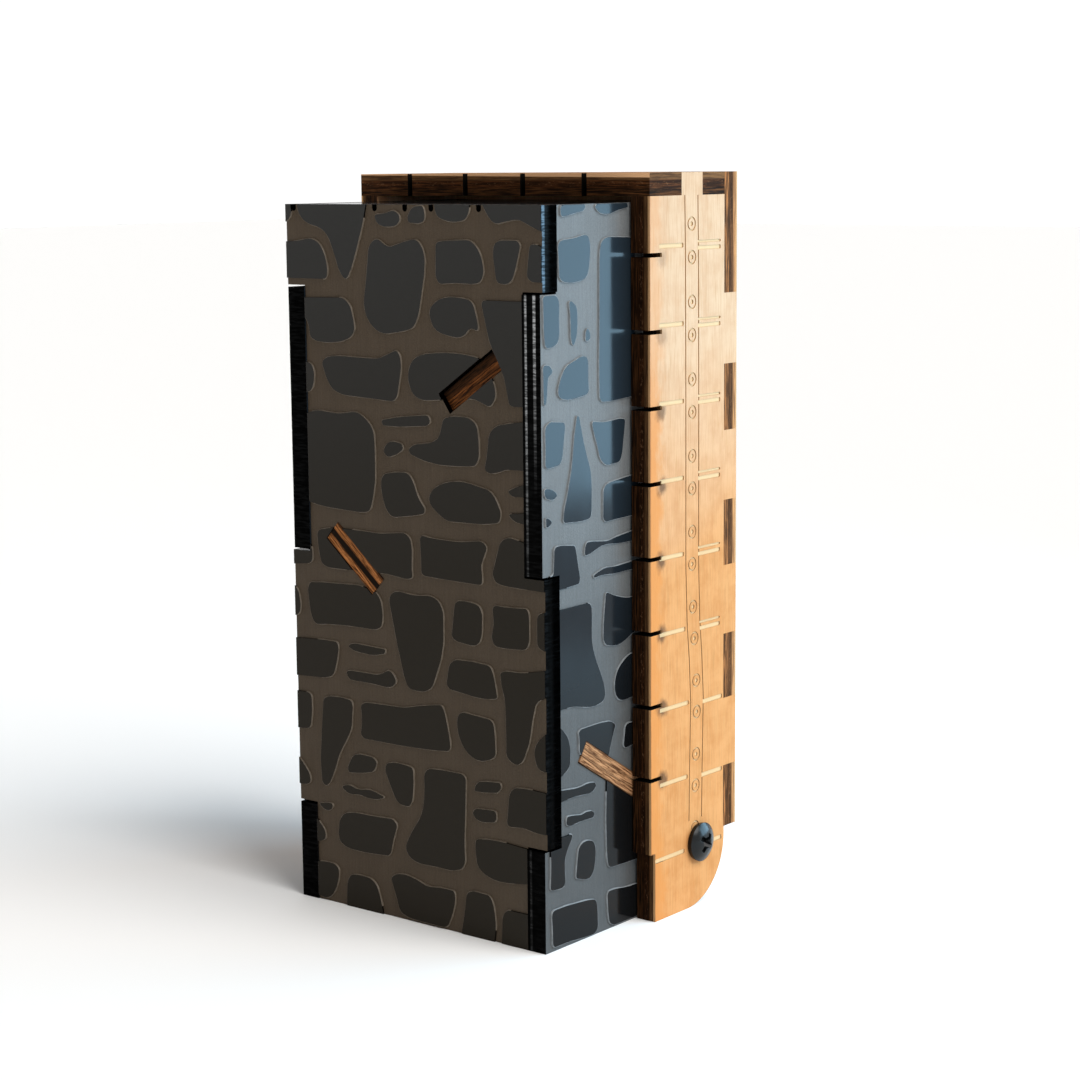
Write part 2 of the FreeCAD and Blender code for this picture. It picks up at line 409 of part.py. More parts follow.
def to_right_side(panel):
    """From the panel frame, where the outer face is y = 0, to the tower's right side."""
    return slanted(panel, Vector(0, 0, 0), Vector(0, 0, 1), 90).translated(Vector(TOWER_WIDTH, 0, 0))


def to_left_side(panel):
    return to_right_side(panel).mirror(Vector(MIDDLE_X, 0, 0), Vector(1, 0, 0))


# ---- tower ----
def round_pit(x):
    """A small burnt notch with a round bottom, open at the front wall's top edge."""
    radius = PIT_WIDTH / 2
    middle = TOWER_HEIGHT - PIT_HEIGHT + radius
    slot = box(x - radius, x + radius, -1, PIT_DEPTH, middle, TOWER_HEIGHT + 1)
    return slot.fuse(rod(radius, Vector(x, -1, middle), Vector(0, 1, 0), PIT_DEPTH + 1))


def front_stone_wall():
    outline = polygon_face([(0, 0), (TOWER_WIDTH, 0), (TOWER_WIDTH, TOWER_HEIGHT), (0, TOWER_HEIGHT)])
    for low, high in CORNER_FINGERS:
        for left in (0, INNER_RIGHT):
            foot, head = low - FINGER_GAP, high + FINGER_GAP
            notch = [(left, foot), (left + ACRYLIC, foot), (left + ACRYLIC, head), (left, head)]
            outline = outline.cut(polygon_face(notch))
    wall = stone_panel(outline, FRONT_STONES)
    half = TENON_LENGTH / 2 + SLIT_CLEARANCE / 2
    for slit, slope in ((UPPER_SLIT, UPPER_SLOPE), (MIDDLE_SLIT, MIDDLE_SLOPE)):
        wall = wall.cut(front_ramp_box(slit, slope, -half, half, -1, ACRYLIC + 1, PLY + SLIT_CLEARANCE))
    for x in FRONT_PITS:
        wall = wall.cut(round_pit(x))
    return wall


def side_wall_outline():
    """The side's profile in y and z: front fingers, straight back, and a heel turned about the pivot."""
    front = []
    for low, high in CORNER_FINGERS:
        front += [(0, low), (0, high), (ACRYLIC, high)]
        if high < CORNER_FINGERS[-1][1]:
            front.append((ACRYLIC, CORNER_FINGERS[-1][0]))
    points = [Vector(u, 0, v) for u, v in front + [(ACRYLIC, TOWER_HEIGHT), (TOWER_DEPTH, TOWER_HEIGHT)]]
    heel_top = Vector(TOWER_DEPTH, 0, PIVOT_Z)
    heel_foot = Vector(PIVOT_Y, 0, PIVOT_Z - HEEL_RADIUS)
    reach = HEEL_RADIUS * math.sqrt(0.5)
    heel_middle = Vector(PIVOT_Y + reach, 0, PIVOT_Z - reach)
    edges = [Part.makeLine(a, b) for a, b in zip(points, points[1:] + [heel_top])]
    edges.append(Part.Arc(heel_top, heel_middle, heel_foot).toShape())
    edges.append(Part.makeLine(heel_foot, Vector(PIVOT_Y, 0, 0)))
    edges.append(Part.makeLine(Vector(PIVOT_Y, 0, 0), points[0]))
    return Part.Face(Part.Wire(edges))


def side_panel():
    panel = stone_panel(side_wall_outline(), SIDE_STONES + course_outlines(SIDE_COURSES))
    return panel.cut(rod(SCREW_RADIUS + FIT, Vector(PIVOT_Y, -1, PIVOT_Z), Vector(0, 1, 0), ACRYLIC + 2))


def side_slit():
    grown = SLIT_CLEARANCE / 2
    return side_ramp_box(-grown, SIDE_TENON_LENGTH + grown, -1, TOWER_WIDTH + 1, PLY + SLIT_CLEARANCE)


def rear_gate_wall():
    """The inner gate: an arched doorway into the treasure room and a hole for the bolt."""
    flat = polygon_face([(INNER_LEFT, GATE_BOTTOM), (INNER_RIGHT, GATE_BOTTOM),
                         (INNER_RIGHT, ROOF_UNDERSIDE), (INNER_LEFT, ROOF_UNDERSIDE)])
    wall = stone_panel(flat, course_outlines(GATE_COURSES))
    wall = slanted(wall, Vector(MIDDLE_X, 0, 0), Vector(0, 0, 1), 180).translated(Vector(0, TOWER_DEPTH, 0))
    door = box(DOOR_LEFT, DOOR_RIGHT, REAR_INSIDE - 1, TOWER_DEPTH + 1, DOOR_SILL, DOOR_SPRING)
    arch = rod((DOOR_RIGHT - DOOR_LEFT) / 2, Vector(MIDDLE_X, REAR_INSIDE - 1, DOOR_SPRING), Vector(0, 1, 0),
               ACRYLIC + 2)
    start = Vector(MIDDLE_X, REAR_INSIDE - 1, BOLT_Z)
    bolt_hole = rod(BOLT_RADIUS + FIT, start, Vector(0, 1, 0), ACRYLIC + 2)
    return wall.cut([door.fuse(arch), bolt_hole])


def tower_roof():
    return box(INNER_LEFT, INNER_RIGHT, ACRYLIC, TOWER_DEPTH, ROOF_UNDERSIDE, TOWER_HEIGHT)


def tower_floor():
    return box(INNER_LEFT, INNER_RIGHT, ACRYLIC, PIVOT_Y, 0, ACRYLIC)


def run_partition():
    """Closes the ball's channel behind the stone front and holds the two front ramps' rear tenons."""
    board = box(INNER_LEFT, INNER_RIGHT, PARTITION_Y, PARTITION_Y + PLY, ROOM_FLOOR_Z, ROOF_UNDERSIDE)
    half = TENON_LENGTH / 2 + SLIT_CLEARANCE / 2
    for slit, slope in ((UPPER_SLIT, UPPER_SLOPE), (MIDDLE_SLIT, MIDDLE_SLOPE)):
        board = board.cut(front_ramp_box(slit, slope, -half, half, PARTITION_Y - 1, PARTITION_Y + PLY + 1,
                                         PLY + SLIT_CLEARANCE))
    return board


def treasure_floor():
    return box(INNER_LEFT, INNER_RIGHT, PARTITION_Y + PLY, REAR_INSIDE, ROOM_FLOOR_Z, ROOM_FLOOR_Z + PLY)


def front_ramp(slit, slope, along_from, along_to, tenon_front):
    board = front_ramp_box(slit, slope, along_from, along_to, ACRYLIC, PARTITION_Y)
    tenon = front_ramp_box(slit, slope, -TENON_LENGTH / 2, TENON_LENGTH / 2, tenon_front, PARTITION_Y + PLY)
    return board.fuse(tenon).removeSplitter()


def side_ramp():
    board = side_ramp_box(-4.0, 21.8, INNER_LEFT, INNER_RIGHT)
    return board.fuse(side_ramp_box(0, SIDE_TENON_LENGTH, 0, TOWER_WIDTH)).removeSplitter()


def bolt_guide():
    block = box(MIDDLE_X - 5, MIDDLE_X + 5, 22.0, REAR_INSIDE, 27.5, ROOM_FLOOR_Z)
    return block.cut(rod(BOLT_RADIUS + FIT, Vector(MIDDLE_X, 21, BOLT_Z), Vector(0, 1, 0), 20))


def pivot_screw():
    """The right-hand screw: a domed cross-head bearing on the shell wall, its shank along -x."""
    seat = SHELL_RIGHT + 0.1
    rim = Vector(seat + SCREW_RIM_HEIGHT, 0, SCREW_HEAD_RADIUS)
    crown = Vector(seat + SCREW_HEAD_HEIGHT, 0, 0)
    shoulder = Vector(seat + SCREW_HEAD_HEIGHT * 0.77, 0, SCREW_HEAD_RADIUS * 0.66)
    profile = [
        Part.makeLine(Vector(seat - SCREW_LENGTH, 0, 0), Vector(seat - SCREW_LENGTH, 0, SCREW_RADIUS - 0.3)),
        Part.makeLine(Vector(seat - SCREW_LENGTH, 0, SCREW_RADIUS - 0.3),
                      Vector(seat - SCREW_LENGTH + 0.3, 0, SCREW_RADIUS)),
        Part.makeLine(Vector(seat - SCREW_LENGTH + 0.3, 0, SCREW_RADIUS), Vector(seat, 0, SCREW_RADIUS)),
        Part.makeLine(Vector(seat, 0, SCREW_RADIUS), Vector(seat, 0, SCREW_HEAD_RADIUS - 0.1)),
        Part.makeLine(Vector(seat, 0, SCREW_HEAD_RADIUS - 0.1), rim),
        Part.Arc(rim, shoulder, crown).toShape(),
        Part.makeLine(crown, Vector(seat - SCREW_LENGTH, 0, 0)),
    ]
    screw = Part.Face(Part.Wire(profile)).revolve(Vector(0, 0, 0), Vector(1, 0, 0), 360)
    recess = cross_recess(seat + SCREW_HEAD_HEIGHT)
    return screw.cut(recess).translated(Vector(0, PIVOT_Y, PIVOT_Z))


def cross_recess(top):
    """Two tapering blades that meet in a cone, as a cross driver leaves."""
    depth = 1.1
    wide, narrow, thickness = 2.1, 0.6, 0.72
    blade_face = Part.Face(Part.makePolygon([Vector(top + 0.5, -wide, 0), Vector(top + 0.5, wide, 0),
                                             Vector(top - depth, narrow, 0), Vector(top - depth, -narrow, 0),
                                             Vector(top + 0.5, -wide, 0)]))
    blade = blade_face.translated(Vector(0, 0, -thickness / 2)).extrude(Vector(0, 0, thickness))
    cone = Part.makeCone(0.4, 1.05, depth + 0.5, Vector(top - depth, 0, 0), Vector(1, 0, 0))
    cross = blade.fuse([slanted(blade, Vector(0, 0, 0), Vector(1, 0, 0), 90), cone])
    return slanted(cross, Vector(0, 0, 0), Vector(1, 0, 0), 52)


def pivot_nut():
    inside = INNER_RIGHT - NUT_HEIGHT
    across_corners = NUT_WIDTH / math.sqrt(3)
    corners = [Vector(inside, across_corners * math.sin(math.radians(60 * i)),
                      across_corners * math.cos(math.radians(60 * i))) for i in range(7)]
    nut = Part.Face(Part.makePolygon(corners)).extrude(Vector(NUT_HEIGHT, 0, 0))
    chamfer = Part.makeCone(across_corners - 0.35, across_corners + 3.0, 3.35,
                            Vector(inside, 0, 0), Vector(1, 0, 0))
    nut = nut.common(chamfer)
    nut = nut.cut(rod(SCREW_RADIUS + 0.02, Vector(inside - 1, 0, 0), Vector(1, 0, 0), NUT_HEIGHT + 2))
    return nut.translated(Vector(0, PIVOT_Y, PIVOT_Z))


def mirrored(shape):
    return shape.mirror(Vector(MIDDLE_X, 0, 0), Vector(1, 0, 0))


# ---- moving ball and bolt ----
def ball_centre():
    """The ball resting on the side ramp against the rear wall."""
    slope = math.radians(SIDE_SLOPE)
    lift = PLY / 2 + BALL_RADIUS + 0.03
    y = REAR_INSIDE - BALL_RADIUS - 0.05
    start_y = SIDE_SLIT[0] - math.sin(slope) * lift
    start_z = SIDE_SLIT[1] + math.cos(slope) * lift
    return Vector(MIDDLE_X, y, start_z + math.tan(slope) * (y - start_y))


def steel_ball():
    return Part.makeSphere(BALL_RADIUS, ball_centre())


def lock_bolt():
    """A plain pin with a small collar at its inner end; at rest it is drawn back inside the gate."""
    pin = rod(BOLT_RADIUS, Vector(MIDDLE_X, BOLT_TIP - BOLT_LENGTH, BOLT_Z), Vector(0, 1, 0), BOLT_LENGTH)
    tip = [edge for edge in pin.Edges if edge.BoundBox.YMin > BOLT_TIP - 0.01]
    return pin.makeChamfer(0.35, tip)


# ---- drawbridge shell ----
def rivet_marks(centre_u, centre_v):
    outer = rod(RIVET_RADIUS, Vector(centre_u, -1, centre_v), Vector(0, 1, 0), 1 + SCORE)
    inner = rod(RIVET_RADIUS - SCORE_WIDTH, Vector(centre_u, -1, centre_v), Vector(0, 1, 0), 1 + SCORE)
    dot = rod(0.3, Vector(centre_u, -1, centre_v), Vector(0, 1, 0), 1 + SCORE)
    return [outer.cut(inner), dot]


def bar_mark(u_from, u_to, v_middle, height=BAR_HEIGHT):
    points = [(u_from, v_middle - height / 2), (u_to, v_middle - height / 2),
              (u_to, v_middle + height / 2), (u_from, v_middle + height / 2)]
    return soft_outline(points, 0.2).translated(Vector(0, -1, 0)).extrude(Vector(0, 1 + SCORE, 0))


def strap_line(edge_points, shift):
    half = SCORE_WIDTH / 2
    left = [(u + shift - half, v) for u, v in edge_points]
    right = [(u + shift + half, v) for u, v in reversed(edge_points)]
    return polygon_face(left + right).translated(Vector(0, -1, 0)).extrude(Vector(0, 1 + SCORE, 0))


def strap_at(edge_points, height):
    """Where the strap's left edge runs at a given height."""
    for (u_high, v_high), (u_low, v_low) in zip(edge_points, edge_points[1:]):
        if v_low <= height <= v_high:
            return u_low + (u_high - u_low) * (height - v_low) / (v_high - v_low)
    return edge_points[-1][0] if height < edge_points[-1][1] else edge_points[0][0]


def seam_heights():
    return [SEAM_TOP - SEAM_PITCH * i for i in range(SEAM_COUNT)]


def strap_rivets(edge_points):
    marks = []
    for seam in seam_heights()[:RIVET_PAIRS] + [seam_heights()[-1]]:
        for side in (1, -1):
            height = seam + RIVET_OFFSET + side * RIVET_SPREAD
            if height > edge_points[-1][1] - 1.5:
                marks += rivet_marks(strap_at(edge_points, height) + STRAP_WIDTH / 2, height)
    return marks


def wall_marks():
    """Scored lines of a side wall in its panel frame, u = y."""
    marks = [strap_line(STRAP_EDGE, 0), strap_line(STRAP_EDGE, STRAP_WIDTH)] + strap_rivets(STRAP_EDGE)
    for index, seam in enumerate(seam_heights()):
        left = strap_at(STRAP_EDGE, seam)
        last = index == SEAM_COUNT - 1
        start, end = (SHELL_FRONT + 1.0, left - 1.05) if last else (SHELL_FRONT + 2.1, left - 0.45)
        marks.append(bar_mark(start, end, seam))
        right = left + STRAP_WIDTH
        if last:
            marks.append(bar_mark(PIVOT_Y + 3.2, DECK_INSIDE - 0.4, seam))
        elif index < 6:
            marks.append(bar_mark(right, DECK_INSIDE - 0.9, seam - 0.45, 0.56))
            marks.append(bar_mark(right, DECK_INSIDE - 0.9, seam + 0.4, 0.34))
        else:
            marks.append(bar_mark(right, DECK_INSIDE - 0.3, seam - 0.5))
    return marks


def shell_wall_panel():
    """A side wall of the shell in its panel frame: outer face y = 0, u = depth, v = height."""
    foot_set_back = 0.9
    foot_step = 9.5
    foot_radius = PIVOT_Z - 0.2
    foot_centre = DECK_INSIDE + 0.2 - foot_radius
    points = [(SHELL_FRONT + foot_set_back, 0), (SHELL_FRONT + foot_set_back, foot_step),
              (SHELL_FRONT, foot_step), (SHELL_FRONT, SHELL_UNDERSIDE),
              (TOP_FINGER[0], SHELL_UNDERSIDE), (TOP_FINGER[0], SHELL_HEIGHT),
              (TOP_FINGER[1], SHELL_HEIGHT), (TOP_FINGER[1], SHELL_UNDERSIDE), (DECK_INSIDE, SHELL_UNDERSIDE)]
    for i in reversed(range(FINGER_COUNT)):
        low = WALL_FINGER_START + FINGER_PITCH * i
        points += [(DECK_INSIDE, low + WALL_FINGER), (SHELL_REAR, low + WALL_FINGER), (SHELL_REAR, low),
        (DECK_INSIDE, low)]
    points += [(DECK_INSIDE, DECK_END), (foot_centre + foot_radius, DECK_END)]
    corners = [Vector(u, 0, v) for u, v in points]
    heel_side = Vector(foot_centre + foot_radius, 0, foot_radius)
    heel_foot = Vector(foot_centre, 0, 0)
    reach = foot_radius * math.sqrt(0.5)
    heel_middle = Vector(foot_centre + reach, 0, foot_radius - reach)
    edges = [Part.makeLine(a, b) for a, b in zip(corners, corners[1:] + [heel_side])]
    edges.append(Part.Arc(heel_side, heel_middle, heel_foot).toShape())
    edges.append(Part.makeLine(heel_foot, corners[0]))
    wall = Part.Face(Part.Wire(edges)).extrude(Vector(0, PLY, 0))
    cuts = [box(SHELL_FRONT - 1, SHELL_FRONT + KERF_LENGTH, -1, PLY + 1,
                KERF_TOP - KERF_PITCH * i - KERF_WIDTH / 2, KERF_TOP - KERF_PITCH * i + KERF_WIDTH / 2)
            for i in range(KERF_COUNT)]
    cuts.append(rod(SCREW_RADIUS + FIT, Vector(PIVOT_Y, -1, PIVOT_Z), Vector(0, 1, 0), PLY + 2))
    return wall.cut(cuts + wall_marks())


def shell_wall(panel):
    return to_right_side(panel).translated(Vector(SIDE_GAP + PLY, 0, 0))


def deck_marks():
    """Scored planks, two straps and their rivets on the deck's outer face, u counted from its left edge."""
    width = SHELL_RIGHT - SHELL_LEFT
    straps = [[(width * share - STRAP_WIDTH / 2, 96),
    (width * share - STRAP_WIDTH / 2, 11)] for share in (0.26, 0.74)]
    marks = []
    for strap in straps:
        marks += [strap_line(strap, 0), strap_line(strap, STRAP_WIDTH)] + strap_rivets(strap)
    left_edge, right_edge = straps[0][0][0], straps[1][0][0]
    spans = ((PLY + 1.0, left_edge - 0.45), (left_edge + STRAP_WIDTH + 0.45, right_edge - 0.45),
             (right_edge + STRAP_WIDTH + 0.45, width - PLY - 1.0))
    for seam in seam_heights()[:-1]:
        marks += [bar_mark(start, end, seam) for start, end in spans]
    return marks


def drawbridge_deck():
    """The deck in its panel frame, then turned to face +y, cut for the top plate's tabs and the bolt."""
    width = SHELL_RIGHT - SHELL_LEFT
    blank = box(0, width, 0, PLY, DECK_END, SHELL_HEIGHT)
    cuts = []
    for i in range(FINGER_COUNT):
        low = WALL_FINGER_START + FINGER_PITCH * i
        for left in (-1, width - PLY):
            cuts.append(box(left, left + PLY + 1, -1, PLY + 1, low, low + WALL_FINGER))
    for x_from, x_to in TOP_TABS:
        left = SHELL_RIGHT - x_to
        cuts.append(box(left, left + x_to - x_from, -1, PLY + 1, SHELL_UNDERSIDE, SHELL_HEIGHT + 1))
    middle = width / 2
    mortise = BOLT_RADIUS + 0.35
    cuts.append(box(middle - mortise, middle + mortise, PLY - BOLT_TRAVEL, PLY + 1,
                    BOLT_Z - mortise, BOLT_Z + mortise))
    panel = blank.cut(cuts + deck_marks())
    deck = slanted(panel, Vector(0, 0, 0), Vector(0, 0, 1), 180)
    return deck.translated(Vector(SHELL_RIGHT, SHELL_REAR, 0))


def drawbridge_top():
    plate = box(SHELL_LEFT, SHELL_RIGHT, SHELL_FRONT, DECK_INSIDE, SHELL_UNDERSIDE, SHELL_HEIGHT)
    for x_from, x_to in TOP_TABS:
        plate = plate.fuse(box(x_from, x_to, DECK_INSIDE, SHELL_REAR, SHELL_UNDERSIDE, SHELL_HEIGHT))
    cuts = [box(left, left + PLY, TOP_FINGER[0], TOP_FINGER[1], SHELL_UNDERSIDE - 1, SHELL_HEIGHT + 1)
            for left in (SHELL_LEFT, SHELL_RIGHT - PLY)]
    for share in TOP_KERFS:
        middle = SHELL_LEFT + (SHELL_RIGHT - SHELL_LEFT) * share
        left, right = middle - TOP_KERF_WIDTH / 2, middle + TOP_KERF_WIDTH / 2
        cuts.append(box(left, right, SHELL_FRONT - 1, SHELL_FRONT + KERF_LENGTH,
                        SHELL_UNDERSIDE - 1, SHELL_HEIGHT + 1))
    return plate.cut(cuts).removeSplitter()


def main():
    right_panel = side_panel()
    shell_panel = shell_wall_panel()
    slit = side_slit()
    pieces = {
        "front_stone_wall": front_stone_wall(),
        "right_stone_wall": to_right_side(right_panel).cut(slit),
        "left_stone_wall": to_left_side(right_panel).cut(slit),
        "rear_gate_wall": rear_gate_wall(),
        "tower_roof": tower_roof(),
        "tower_floor": tower_floor(),
        "run_partition": run_partition(),
        "treasure_floor": treasure_floor(),
        "upper_ramp": front_ramp(UPPER_SLIT, UPPER_SLOPE, -22.7, 9.3, 1.0),
        "middle_ramp": front_ramp(MIDDLE_SLIT, MIDDLE_SLOPE, -9.3, 21.9, 0.1),
        "side_ramp": side_ramp(),
        "bolt_guide": bolt_guide(),
        "pivot_screw_right": pivot_screw(),
        "pivot_screw_left": mirrored(pivot_screw()),
        "pivot_nut_right": pivot_nut(),
        "pivot_nut_left": mirrored(pivot_nut()),
        "drawbridge_deck": drawbridge_deck(),
        "drawbridge_right_wall": shell_wall(shell_panel),
        "drawbridge_left_wall": mirrored(shell_wall(shell_panel)),
        "drawbridge_top": drawbridge_top(),
        "steel_ball": steel_ball(),
        "lock_bolt": lock_bolt(),
    }
    os.makedirs("parts", exist_ok=True)
    for name, shape in pieces.items():
        shape = shape.translated(TO_ORIGIN)
        solid_count = len(shape.Solids)
        print(f"{name}: {solid_count} solid(s), valid {shape.isValid()}, {shape.Volume:.1f} mm3")
        if solid_count == 1:
            shape = shape.Solids[0]
        shape.exportStep(f"parts/{name}.step")


main()
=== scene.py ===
"""Looks of the castle-tower puzzle box: engraved black acrylic, laser-cut birch plywood, black screws."""
import math

import bpy
import numpy as np
from mathutils import Matrix, Vector
from mathutils.bvhtree import BVHTree


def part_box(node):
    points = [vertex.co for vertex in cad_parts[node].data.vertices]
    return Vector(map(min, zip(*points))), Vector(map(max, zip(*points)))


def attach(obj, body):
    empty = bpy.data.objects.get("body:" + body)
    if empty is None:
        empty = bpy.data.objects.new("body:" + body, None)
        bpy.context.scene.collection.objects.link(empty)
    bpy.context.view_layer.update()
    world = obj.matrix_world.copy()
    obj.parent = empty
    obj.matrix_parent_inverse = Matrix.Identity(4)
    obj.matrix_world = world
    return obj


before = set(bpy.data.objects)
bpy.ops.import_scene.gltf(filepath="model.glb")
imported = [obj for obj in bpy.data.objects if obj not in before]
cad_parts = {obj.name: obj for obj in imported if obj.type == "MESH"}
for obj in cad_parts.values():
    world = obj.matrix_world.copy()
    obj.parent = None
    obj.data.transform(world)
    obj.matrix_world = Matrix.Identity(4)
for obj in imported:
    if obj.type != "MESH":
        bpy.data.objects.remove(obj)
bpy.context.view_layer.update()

MM = 0.001
RELIEF = 0.22                       # mm between the stones' faces and the mortar
TOWER_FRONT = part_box("front_stone_wall")[0].y / MM
TOWER_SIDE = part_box("right_stone_wall")[1].x / MM
TOWER_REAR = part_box("rear_gate_wall")[1].y / MM
SHELL_LOW, SHELL_HIGH = (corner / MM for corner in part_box("drawbridge_right_wall"))
DECK_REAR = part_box("drawbridge_deck")[1].y / MM
PLY = SHELL_HIGH.x - SHELL_LOW.x

# the shell's set-back foot and its kerfs, in mm
FOOT_STEP = 9.5
FOOT_SET_BACK = 0.9
KERF_TOP = 89.7
KERF_PITCH = 9.99
LAST_KERF = KERF_TOP - 7 * KERF_PITCH
KERF_END = SHELL_LOW.y + 2.7


# ---- node graph helpers ----
class Graph:
    """A material's node tree with short calls for the nodes that these materials use."""

    def __init__(self, name):
        self.material = bpy.data.materials.new(name)
        self.material.use_nodes = True
        self.tree = self.material.node_tree
        self.shader = self.tree.nodes["Principled BSDF"]
        coords = self.tree.nodes.new("ShaderNodeTexCoord")
        self.normal = coords.outputs["Normal"]
        self.mm = self.vector("SCALE", coords.outputs["Object"], scale=1 / MM)
        self.x, self.y, self.z = self.split(self.mm)
        self.nx, self.ny, self.nz = self.split(self.normal)

    def put(self, socket, value):
        if isinstance(value, bpy.types.NodeSocket):
            self.tree.links.new(value, socket)
        else:
            socket.default_value = value

    def math(self, operation, *values, clamp=False):
        node = self.tree.nodes.new("ShaderNodeMath")
        node.operation = operation
        node.use_clamp = clamp
        for socket, value in zip(node.inputs, values):
            self.put(socket, value)
        return node.outputs[0]

    def times(self, a, b):
        return self.math("MULTIPLY", a, b)

    def plus(self, a, b, clamp=False):
        return self.math("ADD", a, b, clamp=clamp)

    def minus(self, a, b):
        return self.math("SUBTRACT", a, b)

    def size(self, value):
        return self.math("ABSOLUTE", value)

    def vector(self, operation, a, b=None, scale=None):
        node = self.tree.nodes.new("ShaderNodeVectorMath")
        node.operation = operation
        self.put(node.inputs[0], a)
        if b is not None:
            self.put(node.inputs[1], b)
        if scale is not None:
            node.inputs["Scale"].default_value = scale
        return node.outputs["Value"] if operation == "LENGTH" else node.outputs["Vector"]

    def split(self, vector):
        node = self.tree.nodes.new("ShaderNodeSeparateXYZ")
        self.put(node.inputs[0], vector)
        return node.outputs

    def join(self, x, y, z):
        node = self.tree.nodes.new("ShaderNodeCombineXYZ")
        for socket, value in zip(node.inputs, (x, y, z)):
            self.put(socket, value)
        return node.outputs[0]

    def step(self, value, start, end):
        """0 at `start` and 1 at `end`, smooth in between; either may be the larger."""
        node = self.tree.nodes.new("ShaderNodeMapRange")
        node.interpolation_type = "SMOOTHSTEP"
        low, high = min(start, end), max(start, end)
        self.put(node.inputs["Value"], value)
        node.inputs["From Min"].default_value = low
        node.inputs["From Max"].default_value = high
        node.inputs["To Min"].default_value = 0.0 if start < end else 1.0
        node.inputs["To Max"].default_value = 1.0 if start < end else 0.0
        return node.outputs[0]

    def range(self, value, to_low, to_high, from_low=0.0, from_high=1.0):
        node = self.tree.nodes.new("ShaderNodeMapRange")
        self.put(node.inputs["Value"], value)
        ends = {"From Min": from_low, "From Max": from_high, "To Min": to_low, "To Max": to_high}
        for name, number in ends.items():
            node.inputs[name].default_value = number
        return node.outputs[0]

    def noise_at(self, place, scale, detail, roughness):
        node = self.tree.nodes.new("ShaderNodeTexNoise")
        node.inputs["Scale"].default_value = scale
        node.inputs["Detail"].default_value = detail
        node.inputs["Roughness"].default_value = roughness
        self.put(node.inputs["Vector"], place)
        return node.outputs["Fac"]

    def noise(self, scale, stretch=(1, 1, 1), detail=3.0, roughness=0.5):
        """Noise with `scale` features to the millimetre, closer together where the stretch is high."""
        return self.noise_at(self.vector("MULTIPLY", self.mm, stretch), scale, detail, roughness)

    def mix(self, factor, a, b):
        node = self.tree.nodes.new("ShaderNodeMix")
        node.data_type = "RGBA"
        self.put(node.inputs["Factor"], factor)
        self.put(node.inputs["A"], rgba(a))
        self.put(node.inputs["B"], rgba(b))
        return node.outputs["Result"]

    def blend(self, factor, a, b):
        """A number between a and b."""
        node = self.tree.nodes.new("ShaderNodeMix")
        node.data_type = "FLOAT"
        self.put(node.inputs["Factor"], factor)
        self.put(node.inputs["A"], a)
        self.put(node.inputs["B"], b)
        return node.outputs["Result"]

    def bump(self, height, depth_mm, strength=1.0, round_mm=0.07):
        """Surface relief over corners that are softened by `round_mm`."""
        corner = self.tree.nodes.new("ShaderNodeBevel")
        corner.samples = 4
        corner.inputs["Radius"].default_value = round_mm * MM
        node = self.tree.nodes.new("ShaderNodeBump")
        self.put(node.inputs["Normal"], corner.outputs["Normal"])
        node.inputs["Distance"].default_value = depth_mm * MM
        node.inputs["Strength"].default_value = strength
        self.put(node.inputs["Height"], height)
        self.put(self.shader.inputs["Normal"], node.outputs["Normal"])

    def finish(self, color, roughness, specular=0.5, metallic=0.0):
        self.put(self.shader.inputs["Base Color"], rgba(color))
        self.put(self.shader.inputs["Roughness"], roughness)
        self.shader.inputs["Specular IOR Level"].default_value = specular
        self.put(self.shader.inputs["Metallic"], metallic)
        return self.material


def scaled(color, share):
    return [c * share for c in color]


def rgba(color):
    if isinstance(color, bpy.types.NodeSocket):
        return color
    return (*color, 1.0) if len(color) == 3 else color


# ---- materials ----
# birch faces: the wood's tones, with painted shade low down and painted light high up, its pores and the
# marks that the laser leaves
LOW_SHADED_PALE, LOW_SHADED_DARK = (0.6, 0.29, 0.11), (0.5, 0.215, 0.07)
HIGH_LIT_PALE, HIGH_LIT_DARK = (0.61, 0.425, 0.277), (0.55, 0.35, 0.21)
PORE = (0.42, 0.22, 0.08)
TOAST = (0.5, 0.2, 0.055)
SEARED = (0.2, 0.08, 0.03)
SOOT = (0.07, 0.04, 0.026)
SCORED_BAR, SCORED_LINE = (0.6, 0.44, 0.245), (0.35, 0.185, 0.08)

# birch cut edges: the dark and the light streaks of each layer, and what stands out on them
OUTER_VENEER = ((0.09, 0.042, 0.018), (0.27, 0.13, 0.05))
HEART = ((0.01, 0.0035, 0.001), (0.055, 0.019, 0.006))
INNER_VENEER = ((0.006, 0.0025, 0.001), (0.065, 0.025, 0.008))
UNBURNT = ((0.16, 0.066, 0.022), (0.56, 0.26, 0.095))
GLUE_GLOW = (0.26, 0.14, 0.07)
PALE_LIP = (0.8, 0.46, 0.24)
SHALLOW_CUT = (0.42, 0.24, 0.11)
# the kerfs' inner faces: partly char and partly painted shade, made near-black as the shade deep in the
# narrow slots
KERF_BLACK = (0.003, 0.0025, 0.002)

# acrylic cut edges: the ribs' two blacks, and the pale lip colours that paint highlights on the edges of a
# front or rear wall and of a side wall
EDGE_BLACK, EDGE_RIB = (0.0008, 0.0008, 0.0008), (0.0034, 0.0035, 0.0036)
FRONT_EDGE_HIGHLIGHT, SIDE_EDGE_HIGHLIGHT = (0.17, 0.19, 0.215), (0.42, 0.43, 0.44)


